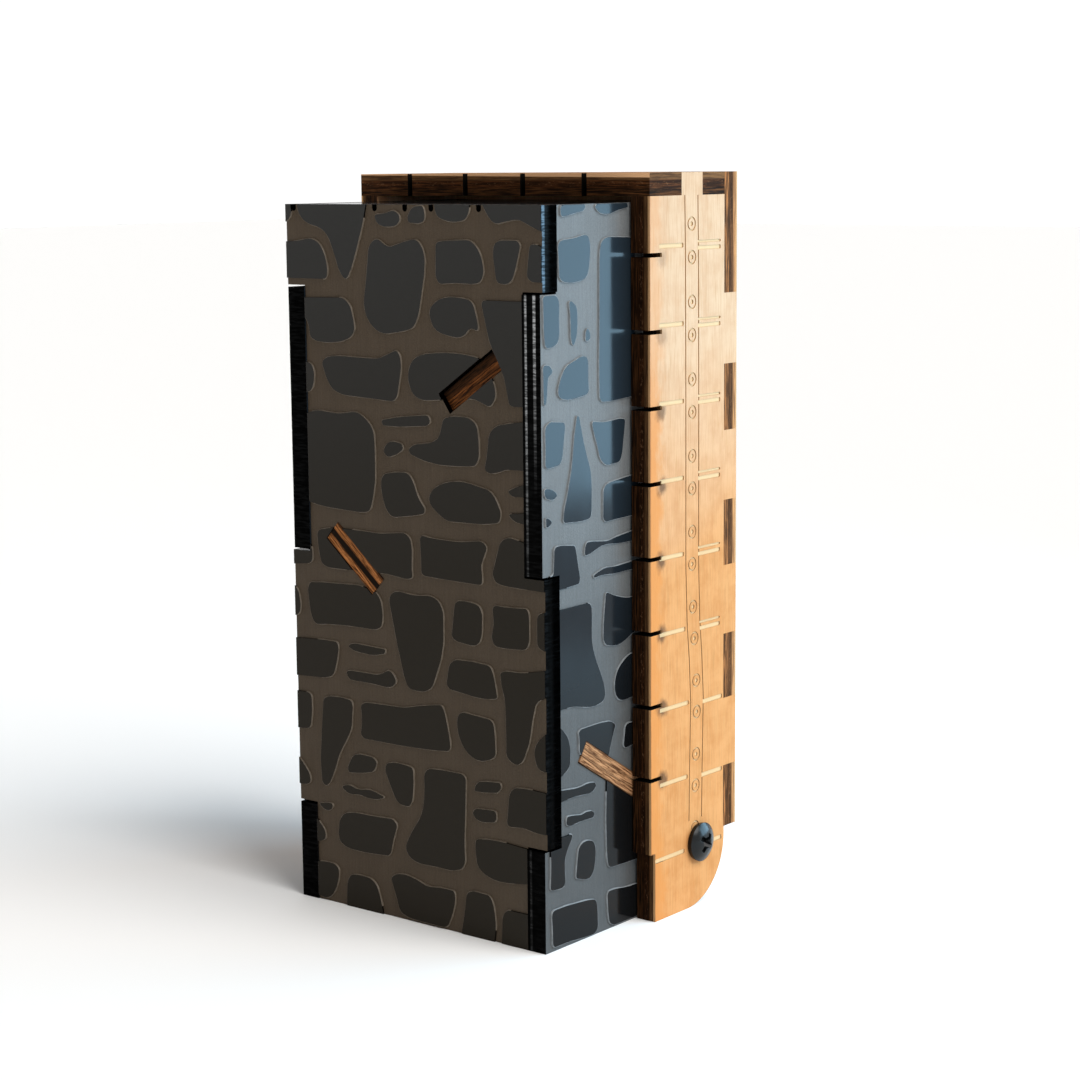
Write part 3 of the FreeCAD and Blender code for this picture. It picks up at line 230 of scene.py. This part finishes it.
def acrylic_edge(g, axis, depth):
    """A cut edge, black and ribbed across the sheet's thickness, with painted highlights on lips near its
    corners.
    """
    rib = g.noise(4.2, (0.12, 0.12, 1), 2.0, 0.6)
    rib_line = g.step(rib, 0.44, 0.6)
    ribbed = g.mix(rib_line, EDGE_BLACK, EDGE_RIB)
    if axis == 1:
        lip = g.times(g.step(depth, 0.1, 0.2), g.step(depth, 0.85, 0.6))
        lip = g.times(lip, g.step(g.size(g.x), TOWER_SIDE - 0.12, TOWER_SIDE - 0.08))
        highlight_strength = g.range(g.step(g.z, 46.0, 88.0), 0.01, 0.22)
    else:
        first = g.times(g.step(depth, 2.38, 2.5), g.step(depth, 2.85, 2.7))
        second = g.times(g.step(depth, 0.95, 1.05), g.step(depth, 1.5, 1.35))
        second = g.times(second, g.step(g.z, 58.0, 84.0))
        lip = g.times(g.plus(first, second, clamp=True), g.step(g.x, -1.0, 1.0))
        lip = g.times(lip, g.step(g.y, TOWER_FRONT + 0.12, TOWER_FRONT + 0.08))
        highlight_strength = g.range(g.step(g.z, 48.0, 80.0), 0.1, 0.85)
    # painted highlight: a pale lip colour near the corners, stronger higher up, where the edges catch the
    # light
    painted_highlight = g.times(g.times(lip, highlight_strength), g.range(rib_line, 0.25, 1.0))
    return g.mix(painted_highlight, ribbed, FRONT_EDGE_HIGHLIGHT if axis == 1 else SIDE_EDGE_HIGHLIGHT), rib


def engraved_acrylic(name, axis, face, mortar, mortar_light, stone, gloss, painted_shade_share, upper_painted_reflection):
    """Glossy black stones over matt engraved mortar; `axis` and `face` (mm) give the wall's outer plane.

    The mortar darkens towards the foot as painted shade, down to the low share; a painted reflection, a pale
    bluish tint added to the colour, lightens the upper stones."""
    g = Graph(name)
    coordinate = (g.x, g.y)[axis]
    facing = (g.nx, g.ny)[axis]
    along = (g.y, g.x)[axis]
    depth = g.size(g.minus(g.size(coordinate), abs(face)))
    flat = g.step(g.size(facing), 0.6, 0.8)
    below_stones = g.step(depth, RELIEF * 0.45, RELIEF * 0.6)
    engraved = g.times(below_stones, g.step(depth, RELIEF * 1.9, RELIEF * 1.4))
    in_mortar = g.times(flat, engraved)
    # the upper part, where the painted reflection lightens the stones and the mortar loses its painted shade
    upper = g.step(g.z, 18.0, 74.0) if axis == 0 else g.step(g.z, 38.0, 100.0)

    raster = g.math("SINE", g.times(along, 2 * math.pi / 0.19))
    scan = g.noise(1.0, (3.4, 3.4, 0.12), 2.0)
    cloud = g.noise(0.16, detail=3.0)
    speck = g.noise(4.5, detail=2.0, roughness=0.7)
    shade = g.plus(g.times(scan, 0.55), g.times(cloud, 0.4))
    shade = g.plus(shade, g.times(raster, 0.06))
    shade = g.plus(shade, g.times(g.minus(speck, 0.5), 1.1), clamp=True)
    mortar_color = g.mix(shade, mortar, mortar_light)
    # painted shade: the mortar darkens towards the foot
    shaded_mortar = g.mix(shade, scaled(mortar, painted_shade_share), scaled(mortar_light, painted_shade_share))
    mortar_color = g.mix(upper, shaded_mortar, mortar_color)

    edge_color, rib = acrylic_edge(g, axis, depth)
    # painted reflection: a pale bluish tint added to the upper stones' colour
    painted_reflection_stone = [s + h for s, h in zip(stone, upper_painted_reflection)]
    stone_color = g.mix(g.times(upper, g.range(speck, 0.85, 1.15)), stone, painted_reflection_stone)
    color = g.mix(flat, edge_color, stone_color)
    color = g.mix(in_mortar, color, mortar_color)

    smear = g.noise(0.35, (1, 1, 0.5), 4.0)
    rough = g.blend(flat, g.range(rib, 0.12, 0.35), g.range(smear, 0.06, 0.2))
    rough = g.blend(in_mortar, rough, g.range(speck, 0.42, 0.62))
    height = g.plus(g.times(raster, 0.3), g.times(scan, 0.8))
    height = g.times(g.plus(height, g.times(speck, 1.2)), in_mortar)
    edge_only = g.minus(1.0, flat)
    height = g.plus(height, g.times(g.times(rib, edge_only), 0.3))
    bow = g.times(g.times(g.math("POWER", depth, 2.0), -2.6), edge_only)
    g.bump(g.plus(height, bow), 0.03, 1.0)
    g.put(g.shader.inputs["Specular Tint"], g.mix(flat, (0.5, 0.5, 0.5), (1, 1, 1)))
    return g.finish(color, rough, gloss, metallic=g.times(edge_only, 0.95))


def rim_acrylic(name, color):
    """The pale molten bead that the engraving leaves along each stone."""
    g = Graph(name)
    broken = g.noise(1.6, detail=2.0)
    return g.finish(g.mix(broken, scaled(color, 0.55), scaled(color, 1.25)), 0.4, 0.25)


def plain_acrylic():
    g = Graph("plain_acrylic")
    smear = g.noise(0.3, detail=4.0)
    striation = g.noise(1.0, (0.5, 0.5, 7.0), 2.0)
    g.bump(striation, 0.006, 0.4)
    return g.finish((0.008, 0.008, 0.0085), g.range(smear, 0.06, 0.18), 0.2)


def stretched(axis, there, elsewhere):
    """A stretch with one value on the axis and another on the other two."""
    return tuple(there if i == axis else elsewhere for i in range(3))


def grain_stretch(axis, across, along):
    """The stretch for a board that faces `axis`, whose grain runs up, or back where the board lies flat."""
    grain_axis = 1 if axis == 2 else 2
    return tuple(1 if i == axis else along if i == grain_axis else across for i in range(3))


def streaked(g, streak, low, high, tones, share=1.0):
    """The dark tone up to `low` on the streak and the light one from `high`, both scaled by the share."""
    return g.mix(g.step(streak, low, high), scaled(tones[0], share), scaled(tones[1], share))


def cut_edge(g, axis, depth, burn, veneer):
    """The charred layers of a cut edge from the outer veneer to the inner one, streaked along the board."""
    streak = g.noise(1.0, stretched(axis, 4.5, 0.22), 4.0, 0.65)
    fine = g.noise(3.0, stretched(axis, 1.6, 0.6), 3.0, 0.7)
    outer = streaked(g, streak, 0.35, 0.65, OUTER_VENEER, veneer[0])
    heart = streaked(g, streak, 0.4, 0.7, HEART, veneer[1])
    inner = streaked(g, streak, 0.4, 0.7, INNER_VENEER, veneer[2])
    layer = g.plus(depth, g.times(g.minus(streak, 0.5), 0.5))
    edge = g.mix(g.step(layer, PLY * 0.27, PLY * 0.34), outer, heart)
    edge = g.mix(g.step(layer, PLY * 0.62, PLY * 0.7), edge, inner)
    near_glue = g.times(g.step(layer, 1.0, 1.25), g.step(layer, 1.8, 1.5))
    glow = g.times(near_glue, g.step(fine, 0.55, 0.66))
    edge = g.mix(g.times(glow, 0.3), edge, GLUE_GLOW)
    if burn < 1.0:
        edge = g.mix(1.0 - burn, edge, streaked(g, streak, 0.3, 0.7, UNBURNT))
    return edge, streak, fine


def scorched(g, color):
    """Toast along the shell wall's front edge and soot round the ends of its kerfs."""
    smoke = g.noise(0.55, (1, 1, 0.6), 4.0, 0.65)
    low_part = g.step(g.z, 84.0, 62.0)
    set_back = g.range(g.step(g.z, FOOT_STEP + 0.2, FOOT_STEP), 0.0, FOOT_SET_BACK)
    from_edge = g.minus(g.minus(g.y, SHELL_LOW.y), set_back)
    toast = g.step(g.minus(from_edge, g.times(smoke, 5.5)), 0.9, -1.9)
    toast = g.times(toast, g.range(low_part, 0.35, 0.85))
    foot = g.step(g.minus(from_edge, g.times(smoke, 2.2)), 0.6, -1.1)
    foot = g.times(foot, g.times(g.step(g.z, 22.0, 6.0), 0.8))
    toast = g.math("MAXIMUM", toast, foot)
    color = g.mix(toast, color, TOAST)
    seared = g.step(g.minus(from_edge, g.times(smoke, 0.4)), 0.05, -0.15)
    color = g.mix(g.times(seared, 0.6), color, SEARED)
    above_kerf = g.math("PINGPONG", g.minus(g.z, KERF_TOP - 0.45), KERF_PITCH / 2)
    past_end = g.times(g.minus(g.y, KERF_END - 0.1), 0.8)
    reach = g.vector("LENGTH", g.join(g.times(above_kerf, 0.8), past_end, 0.0))
    soot_and_shade = g.step(g.minus(reach, g.times(smoke, 2.0)), 0.35, -0.7)
    soot_and_shade = g.times(soot_and_shade, g.range(low_part, 0.3, 0.8))
    in_kerfs = g.step(g.z, LAST_KERF - 0.4 * KERF_PITCH, LAST_KERF)
    return g.mix(g.times(soot_and_shade, in_kerfs), color, SOOT)


def plywood(name, axis, outer, inward, tone=0.86, burn=1.0, kerfs=None, pale_lip=False, painted_light_range=(0.0, 1.0),
            veneer=(1.0, 1.0, 1.0)):
    """Birch plywood: pale grained faces across `axis`, charred layered edges elsewhere.

    `outer` is the face's place along the axis in mm and `inward` the sign of the way into the board;
    `kerfs` is "wall" or "top" for a board with kerfs; `burn` darkens the cut edges; the painted light range
    is how far the faces have gone from the darker, oranger painted shade towards the paler painted light at
    the foot and at the head; `veneer` scales the outer veneer, the heart and the inner veneer of the cut
    edges."""
    g = Graph(name)
    coordinate = (g.x, g.y, g.z)[axis]
    facing = g.size((g.nx, g.ny, g.nz)[axis])
    face = g.step(facing, 0.6, 0.8)
    depth = g.times(g.minus(coordinate, outer), inward)

    fibre = g.noise(1.0, grain_stretch(axis, 5.0, 0.22), 4.0, 0.6)
    figure = g.noise(1.0, grain_stretch(axis, 0.55, 0.035), 3.0, 0.55)
    pore = g.noise(1.0, grain_stretch(axis, 9.0, 0.22), 1.0)
    mottle = g.noise(0.28, detail=4.0, roughness=0.65)
    drift = g.times(g.noise(0.05, detail=2.0), 20.0)
    # painted light: the faces go from a darker, oranger painted shade low down to a paler painted light high
    # up
    painted_light_share = g.range(g.step(g.plus(g.z, drift), 54.0, 92.0), *painted_light_range)
    light = g.mix(painted_light_share, scaled(LOW_SHADED_PALE, tone), scaled(HIGH_LIT_PALE, tone))
    dark = g.mix(painted_light_share, scaled(LOW_SHADED_DARK, tone), scaled(HIGH_LIT_DARK, tone))
    grain = g.plus(g.times(fibre, 0.6), g.times(figure, 0.4))
    grain = g.plus(grain, g.times(g.minus(mottle, 0.5), 1.0))
    color = g.mix(g.step(grain, 0.3, 0.8), light, dark)
    color = g.mix(g.times(g.step(pore, 0.52, 0.74), 0.5), color, scaled(PORE, tone))

    edge, streak, fine = cut_edge(g, axis, depth, burn, veneer)
    if pale_lip:
        lip_depth = g.range(g.x, 0.1, 0.55, SHELL_LOW.x - 45, SHELL_HIGH.x)
        lip = g.step(g.minus(depth, lip_depth), 0.12, 0.0)
        edge = g.mix(g.times(lip, g.step(g.ny, -0.6, -0.8)), edge, PALE_LIP)

    if kerfs == "wall":
        color = scorched(g, color)

    # scored marks: pale shallow bars with burnt outlines
    bar = g.times(g.step(depth, 0.05, 0.08), g.step(depth, 0.165, 0.15))
    line = g.times(g.step(depth, 0.15, 0.165), g.step(depth, 0.4, 0.3))
    color = g.mix(g.times(bar, 0.75), color, SCORED_BAR)
    color = g.mix(g.times(line, 0.75), color, SCORED_LINE)
    shallow = g.step(depth, 0.34, 0.28)
    edge = g.mix(shallow, edge, SHALLOW_CUT) if axis != 2 else edge
    if kerfs:
        inside = g.size(g.nz if kerfs == "wall" else g.nx)
        inside = g.times(g.step(inside, 0.6, 0.8), g.step(g.y, KERF_END + 0.3, KERF_END + 0.1))
        inside = g.times(inside, g.step(depth, 0.02, 0.05))
        if kerfs == "top":
            width = g.size(g.x)
            inside = g.times(inside, g.step(width, SHELL_HIGH.x - 0.1, SHELL_HIGH.x - 0.4))
        # the kerfs' inner faces: char and painted shade, near-black
        edge = g.mix(inside, edge, KERF_BLACK)
    color = g.mix(face, edge, color)

    relief = g.plus(g.times(fibre, 0.8), g.times(pore, -0.6))
    relief = g.blend(face, g.times(g.plus(fine, streak), 1.3), relief)
    g.bump(relief, 0.03, 0.8, 0.03)
    rough = g.blend(face, g.range(fine, 0.55, 0.8), g.range(fibre, 0.5, 0.66))
    return g.finish(color, rough, 0.04)


def tenon_ply(name, centre, angle, plane, tones, glue_dark, shade_top=0.0, core_dark=0.0):
    """Plywood seen end-on in a slit.

    The layers lie across the slope `angle` through `centre`, in x and z for plane 0, in y and z for plane 1.
    `tones` are the streaks' dark and light colours; `glue_dark`, `core_dark` and `shade_top` are the strength
    of the burnt glue lines, of the burnt core and of the painted shade along the upper side, under the slit's
    lip."""
    g = Graph(name)
    u = (g.x, g.y)[plane]
    lean = math.radians(angle)
    aside = g.minus(u, centre[0])
    above = g.minus(g.z, centre[1])
    across = g.plus(g.times(aside, -math.sin(lean)), g.times(above, math.cos(lean)))
    along = g.plus(g.times(aside, math.cos(lean)), g.times(above, math.sin(lean)))
    place = g.join(g.times(along, 0.3), g.times(across, 5.0), 0.0)
    streak = g.noise_at(place, 1.0, detail=5.0, roughness=0.7)
    wobble = g.times(g.minus(streak, 0.5), 0.2)
    layer = g.size(g.plus(across, wobble))
    color = g.mix(g.step(streak, 0.4, 0.6), tones[0], tones[1])
    glue = g.times(g.step(layer, 0.32, 0.42), g.step(layer, 0.72, 0.6))
    # painted shade: the dark rim along the outer layers stands for the dark gap round the tenon in its slit
    rim = g.step(layer, 1.25, 1.45)
    color = g.mix(g.times(g.step(layer, 0.5, 0.36), core_dark), color, (0.009, 0.005, 0.0025))
    color = g.mix(g.times(glue, glue_dark), color, (0.018, 0.008, 0.004))
    color = g.mix(g.times(rim, 0.75), color, (0.03, 0.013, 0.006))
    # painted shade along the tenon's upper side, where the slit's lip shades it
    soot_and_shade = g.times(g.step(g.plus(across, wobble), 0.0, 0.9), shade_top)
    color = g.mix(soot_and_shade, color, (0.008, 0.005, 0.003))
    g.bump(streak, 0.06, 0.9)
    return g.finish(color, g.range(streak, 0.45, 0.7), 0.03)


def metal(name, color, rough_low, rough_high, metallic, scratch=(1, 1, 1)):
    g = Graph(name)
    wear = g.noise(2.2, scratch, 4.0, 0.6)
    g.bump(wear, 0.008, 0.5)
    shade = g.mix(wear, scaled(color, 0.8), scaled(color, 1.15))
    return g.finish(shade, g.range(wear, rough_low, rough_high), 0.22, metallic)


# shaded and lit copies of one engraved acrylic: the warmer, darker front set is painted shade and the greyer,
# paler side set painted light
FRONT_STONE = {"mortar": (0.052, 0.037, 0.0235), "mortar_light": (0.092, 0.0665, 0.044),
               "stone": (0.013, 0.0095, 0.005), "gloss": 0.12, "painted_shade_share": 0.92,
               "upper_painted_reflection": (0.013, 0.016, 0.019)}
SIDE_STONE = {"mortar": (0.1, 0.104, 0.105), "mortar_light": (0.165, 0.173, 0.177),
              "stone": (0.004, 0.0042, 0.0045), "gloss": 0.11, "painted_shade_share": 0.52,
              "upper_painted_reflection": (0.008, 0.014, 0.02)}

# shares of the three layers' tones for `plywood`, and the dark and light tones of the tenons; the side
# tenon's paler tones are painted light and the front tenons' darker ones painted shade, on one plywood
WALL_VENEER = (0.36, 0.8, 0.8)
DECK_VENEER = (1.8, 1.3, 5.5)
TOP_VENEER = (0.62, 1.9, 1.5)
UPPER_TONES = ((0.014, 0.005, 0.002), (0.19, 0.064, 0.018))
MIDDLE_TONES = ((0.045, 0.015, 0.004), (0.46, 0.175, 0.055))
SIDE_TONES = ((0.075, 0.027, 0.01), (0.41, 0.215, 0.105))
UPPER_SLOPE, MIDDLE_SLOPE, SIDE_SLOPE = 34.5, -40.6, -31.2   # degrees
UPPER_SLIT = (10.15, 74.0)          # x and z of the slit's centre, mm
MIDDLE_SLIT = (-10.65, 49.1)
SIDE_SLIT = (-11.5, 25.5)           # y and z of the slit's centre, mm

MATERIALS = {
    "front_stone_wall": engraved_acrylic("front_stone", 1, TOWER_FRONT, **FRONT_STONE),
    "right_stone_wall": engraved_acrylic("side_stone", 0, TOWER_SIDE, **SIDE_STONE),
    "rear_gate_wall": engraved_acrylic("gate_stone", 1, TOWER_REAR, **SIDE_STONE),
    "tower_floor": plain_acrylic(),
    "run_partition": plywood("inner_ply_upright", 1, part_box("run_partition")[0].y / MM, 1, burn=0.7),
    "treasure_floor": plywood("inner_ply_flat", 2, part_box("treasure_floor")[1].z / MM, -1, burn=0.7),
    "upper_ramp": tenon_ply("upper_ramp_ply", UPPER_SLIT, UPPER_SLOPE, 0, UPPER_TONES, 0.5, shade_top=0.8),
    "middle_ramp": tenon_ply("middle_ramp_ply", MIDDLE_SLIT, MIDDLE_SLOPE, 0, MIDDLE_TONES, 0.4,
                             core_dark=1.0),
    "side_ramp": tenon_ply("side_ramp_ply", SIDE_SLIT, SIDE_SLOPE, 1, SIDE_TONES, 0.45),
    "bolt_guide": plywood("guide_ply", 0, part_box("bolt_guide")[1].x / MM, -1, burn=0.7),
    "pivot_screw_right": metal("black_screw", (0.005, 0.0055, 0.0056), 0.12, 0.32, 0.0),
    "pivot_nut_right": metal("steel_nut", (0.62, 0.62, 0.6), 0.22, 0.38, 1.0),
    "drawbridge_deck": plywood("deck_ply", 1, DECK_REAR, -1, burn=0.9, painted_light_range=(0.3, 0.6), veneer=DECK_VENEER),
    "drawbridge_right_wall": plywood("right_wall_ply", 0, SHELL_HIGH.x, -1, kerfs="wall", veneer=WALL_VENEER),
    "drawbridge_left_wall": plywood("left_wall_ply", 0, -SHELL_HIGH.x, 1, kerfs="wall", veneer=WALL_VENEER),
    "drawbridge_top": plywood("top_ply", 2, SHELL_HIGH.z, -1, tone=0.66, kerfs="top", pale_lip=True,
                              painted_light_range=(0.3, 0.3), veneer=TOP_VENEER),
    "steel_ball": metal("ball_steel", (0.8, 0.8, 0.81), 0.05, 0.12, 1.0),
    "lock_bolt": metal("bolt_steel", (0.6, 0.6, 0.6), 0.2, 0.36, 1.0, (1, 0.1, 1)),
}
SHARED = {"left_stone_wall": "right_stone_wall", "tower_roof": "tower_floor",
          "pivot_screw_left": "pivot_screw_right", "pivot_nut_left": "pivot_nut_right"}
for node_name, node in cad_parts.items():
    node.data.materials.clear()
    node.data.materials.append(MATERIALS[SHARED.get(node_name, node_name)])


# ---- molten beads along the stones ----
# the bead's profile: distance out from the stone's border and height over the mortar, in mm
BEAD = ((-0.01, RELIEF - 0.01), (0.015, RELIEF + 0.006), (0.045, RELIEF - 0.012), (0.07, 0.12), (0.1, -0.02))
BEAD_WANDER = 0.35                  # share of its width by which the bead grows and shrinks
WANDER_RATE = np.array([2.3, 1.9, 3.1])   # radians to the millimetre
PROBE_ASIDE = 0.13                  # mm from the border to the place where mortar is looked for


def unit(vectors):
    return vectors / (np.linalg.norm(vectors, axis=1)[:, None] + 1e-12)


def merged_mesh(node):
    """The node's vertices, joined where they meet, in mm, and its triangles."""
    mesh = node.data
    mesh.calc_loop_triangles()
    points = np.array([v.co for v in mesh.vertices]) / MM
    keys, index = np.unique(np.round(points, 4), axis=0, return_inverse=True)
    triangles = np.array([t.vertices for t in mesh.loop_triangles])
    return keys, index.reshape(-1)[triangles]


def stone_borders(points, triangles, axis, face):
    """Closed chains of points round each stone's face, with the stone on the left seen from outside."""
    outward = np.zeros(3)
    outward[axis] = np.sign(face)
    corners = points[triangles]
    normals = unit(np.cross(corners[:, 1] - corners[:, 0], corners[:, 2] - corners[:, 0]))
    on_face = np.all(np.abs(corners[:, :, axis] - face) < 0.02, axis=1)
    top = triangles[on_face & (normals @ outward > 0.9)]
    sides = {(a, b) for t in top for a, b in ((t[0], t[1]), (t[1], t[2]), (t[2], t[0]))}
    follows = {a: b for a, b in sides if (b, a) not in sides}
    chains = []
    while follows:
        start, point = follows.popitem()
        chain = [start]
        while point != start and point in follows:
            chain.append(point)
            point = follows.pop(point)
        chains.append([points[i] for i in chain])
    return [chain for chain in chains if len(chain) > 4], outward


def mortar_beside(tree, loop, away, outward):
    """Whether a probe beside each border point, dropped from 1 mm over the face, lands on mortar."""
    found = []
    for point, way in zip(loop, away):
        above = Vector(point + way * PROBE_ASIDE + outward)
        spot, _, _, drop = tree.ray_cast(above, Vector(-outward), 2.0)
        found.append(spot is not None and abs(drop - 1 - RELIEF) < 0.05)
    return found


def bead_mesh(node_name, axis, face):
    """Strips of the bead profile along every border that has mortar beside it."""
    points, triangles = merged_mesh(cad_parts[node_name])
    tree = BVHTree.FromPolygons([Vector(p) for p in points], triangles.tolist())
    chains, outward = stone_borders(points, triangles, axis, face)
    rows = len(BEAD)
    verts, faces = [], []
    for chain in chains:
        loop = np.array(chain)
        away = np.cross(unit(np.roll(loop, -1, axis=0) - loop), outward)
        away = unit(away + np.roll(away, 1, axis=0))
        beside = mortar_beside(tree, loop, away, outward)
        first = len(verts)
        widths = 1 + BEAD_WANDER * np.sin(loop @ WANDER_RATE)
        for point, way, width in zip(loop, away, widths):
            for aside, height in BEAD:
                verts.append((point + way * aside * width + outward * (height - RELIEF)) * MM)
        for i in range(len(loop)):
            j = (i + 1) % len(loop)
            if beside[i] and beside[j]:
                for k in range(rows - 1):
                    a, b = first + i * rows + k, first + j * rows + k
                    faces.append((a, a + 1, b + 1, b))
    return verts, faces


def add_beads(node_name, axis, face, material):
    verts, faces = bead_mesh(node_name, axis, face)
    used = sorted({i for f in faces for i in f})
    place = {old: new for new, old in enumerate(used)}
    mesh = bpy.data.meshes.new(node_name + "_beads")
    mesh.from_pydata([verts[i] for i in used], [], [tuple(place[i] for i in f) for f in faces])
    mesh.shade_smooth()
    mesh.materials.append(material)
    piece = bpy.data.objects.new(node_name + "_beads", mesh)
    bpy.context.scene.collection.objects.link(piece)
    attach(piece, "tower")


# one bead material in two colours: the warmer, darker front bead is painted shade and the paler, bluish side
# bead painted light
front_rim = rim_acrylic("front_rim", (0.135, 0.108, 0.08))
side_rim = rim_acrylic("side_rim", (0.205, 0.217, 0.225))
add_beads("front_stone_wall", 1, TOWER_FRONT, front_rim)
add_beads("right_stone_wall", 0, TOWER_SIDE, side_rim)
add_beads("left_stone_wall", 0, -TOWER_SIDE, side_rim)
add_beads("rear_gate_wall", 1, TOWER_REAR, side_rim)


# ---- stage ----
def floor():
    bpy.ops.mesh.primitive_plane_add(size=6.0, location=(0, 0, -0.02 * MM))
    plane = bpy.context.object
    plane.name = "floor"
    g = Graph("white_floor")
    plane.data.materials.append(g.finish((0.97, 0.97, 0.97), 0.7, 0.1))


def area_light(name, place, target, size, power, color):
    data = bpy.data.lights.new(name, "AREA")
    data.shape = "RECTANGLE"
    data.size, data.size_y = size
    data.energy = power
    data.color = color
    lamp = bpy.data.objects.new(name, data)
    bpy.context.scene.collection.objects.link(lamp)
    lamp.location = place
    lamp.rotation_euler = (Vector(target) - Vector(place)).to_track_quat("-Z", "Y").to_euler()
    lamp.visible_camera = False


def sun_light(name, source, spread, strength, color):
    data = bpy.data.lights.new(name, "SUN")
    data.angle = math.radians(spread)
    data.energy = strength
    data.color = color
    lamp = bpy.data.objects.new(name, data)
    bpy.context.scene.collection.objects.link(lamp)
    lamp.rotation_euler = Vector(source).to_track_quat("Z", "Y").to_euler()


def world_light():
    """A pale room: white along the horizon, softer overhead and dim towards the front left."""
    world = bpy.data.worlds.new("studio")
    bpy.context.scene.world = world
    world.use_nodes = True
    tree = world.node_tree
    coords = tree.nodes.new("ShaderNodeTexCoord")
    split = tree.nodes.new("ShaderNodeSeparateXYZ")
    tree.links.new(coords.outputs["Generated"], split.inputs[0])
    dot = tree.nodes.new("ShaderNodeVectorMath")
    dot.operation = "DOT_PRODUCT"
    dot.inputs[1].default_value = Vector((0.6, 0.8, 0.0)).normalized()
    tree.links.new(coords.outputs["Generated"], dot.inputs[0])

    def ramp(source, from_low, from_high, low, high):
        spread = tree.nodes.new("ShaderNodeMapRange")
        spread.interpolation_type = "SMOOTHSTEP"
        spread.inputs["From Min"].default_value = from_low
        spread.inputs["From Max"].default_value = from_high
        tree.links.new(source, spread.inputs["Value"])
        mix = tree.nodes.new("ShaderNodeMix")
        mix.data_type = "RGBA"
        tree.links.new(spread.outputs[0], mix.inputs["Factor"])
        for name, value in (("A", low), ("B", high)):
            if isinstance(value, bpy.types.NodeSocket):
                tree.links.new(value, mix.inputs[name])
            else:
                mix.inputs[name].default_value = (*value, 1)
        return mix.outputs["Result"]

    overhead = ramp(dot.outputs["Value"], -0.7, 0.6, (0.2, 0.185, 0.168), (0.52, 0.53, 0.54))
    sky = ramp(split.outputs["Z"], 0.1, 0.3, (1.05, 1.05, 1.05), overhead)
    background = tree.nodes["Background"]
    tree.links.new(sky, background.inputs["Color"])
    background.inputs["Strength"].default_value = 1.0


def camera(place, yaw, pitch, roll, lens):
    """Angles in degrees: yaw from +Y towards +X, pitch downwards, and a roll that lifts the right side."""
    data = bpy.data.cameras.new("camera")
    data.sensor_width = 36.0
    data.lens = lens
    data.clip_start, data.clip_end = 0.01, 20
    cam = bpy.data.objects.new("camera", data)
    bpy.context.scene.collection.objects.link(cam)
    cam.location = place
    yaw, pitch, roll = (math.radians(angle) for angle in (yaw, pitch, roll))
    aim = Vector((math.sin(yaw) * math.cos(pitch), math.cos(yaw) * math.cos(pitch), -math.sin(pitch)))
    level = Vector((math.cos(yaw), -math.sin(yaw), 0))
    up = level.cross(aim)
    right = math.cos(roll) * level + math.sin(roll) * up
    top = -math.sin(roll) * level + math.cos(roll) * up
    cam.rotation_mode = "QUATERNION"
    cam.rotation_quaternion = Matrix((right, top, -aim)).transposed().to_quaternion()
    bpy.context.scene.camera = cam


floor()
world_light()
sun_light("key", source=(1.0, 0.0, 1.0), spread=46, strength=2.95, color=(1.0, 0.985, 0.96))
area_light("side_panel", place=(0.15, 0.155, 0.078), target=(0.022, 0, 0.078), size=(0.17, 0.095), power=0.5,
           color=(0.42, 0.75, 1.0))
camera(place=(0.21009, -0.25533, 0.10187), yaw=-38.636, pitch=8.907, roll=-0.535, lens=80.54)
bpy.context.scene.view_settings.view_transform = "Standard"
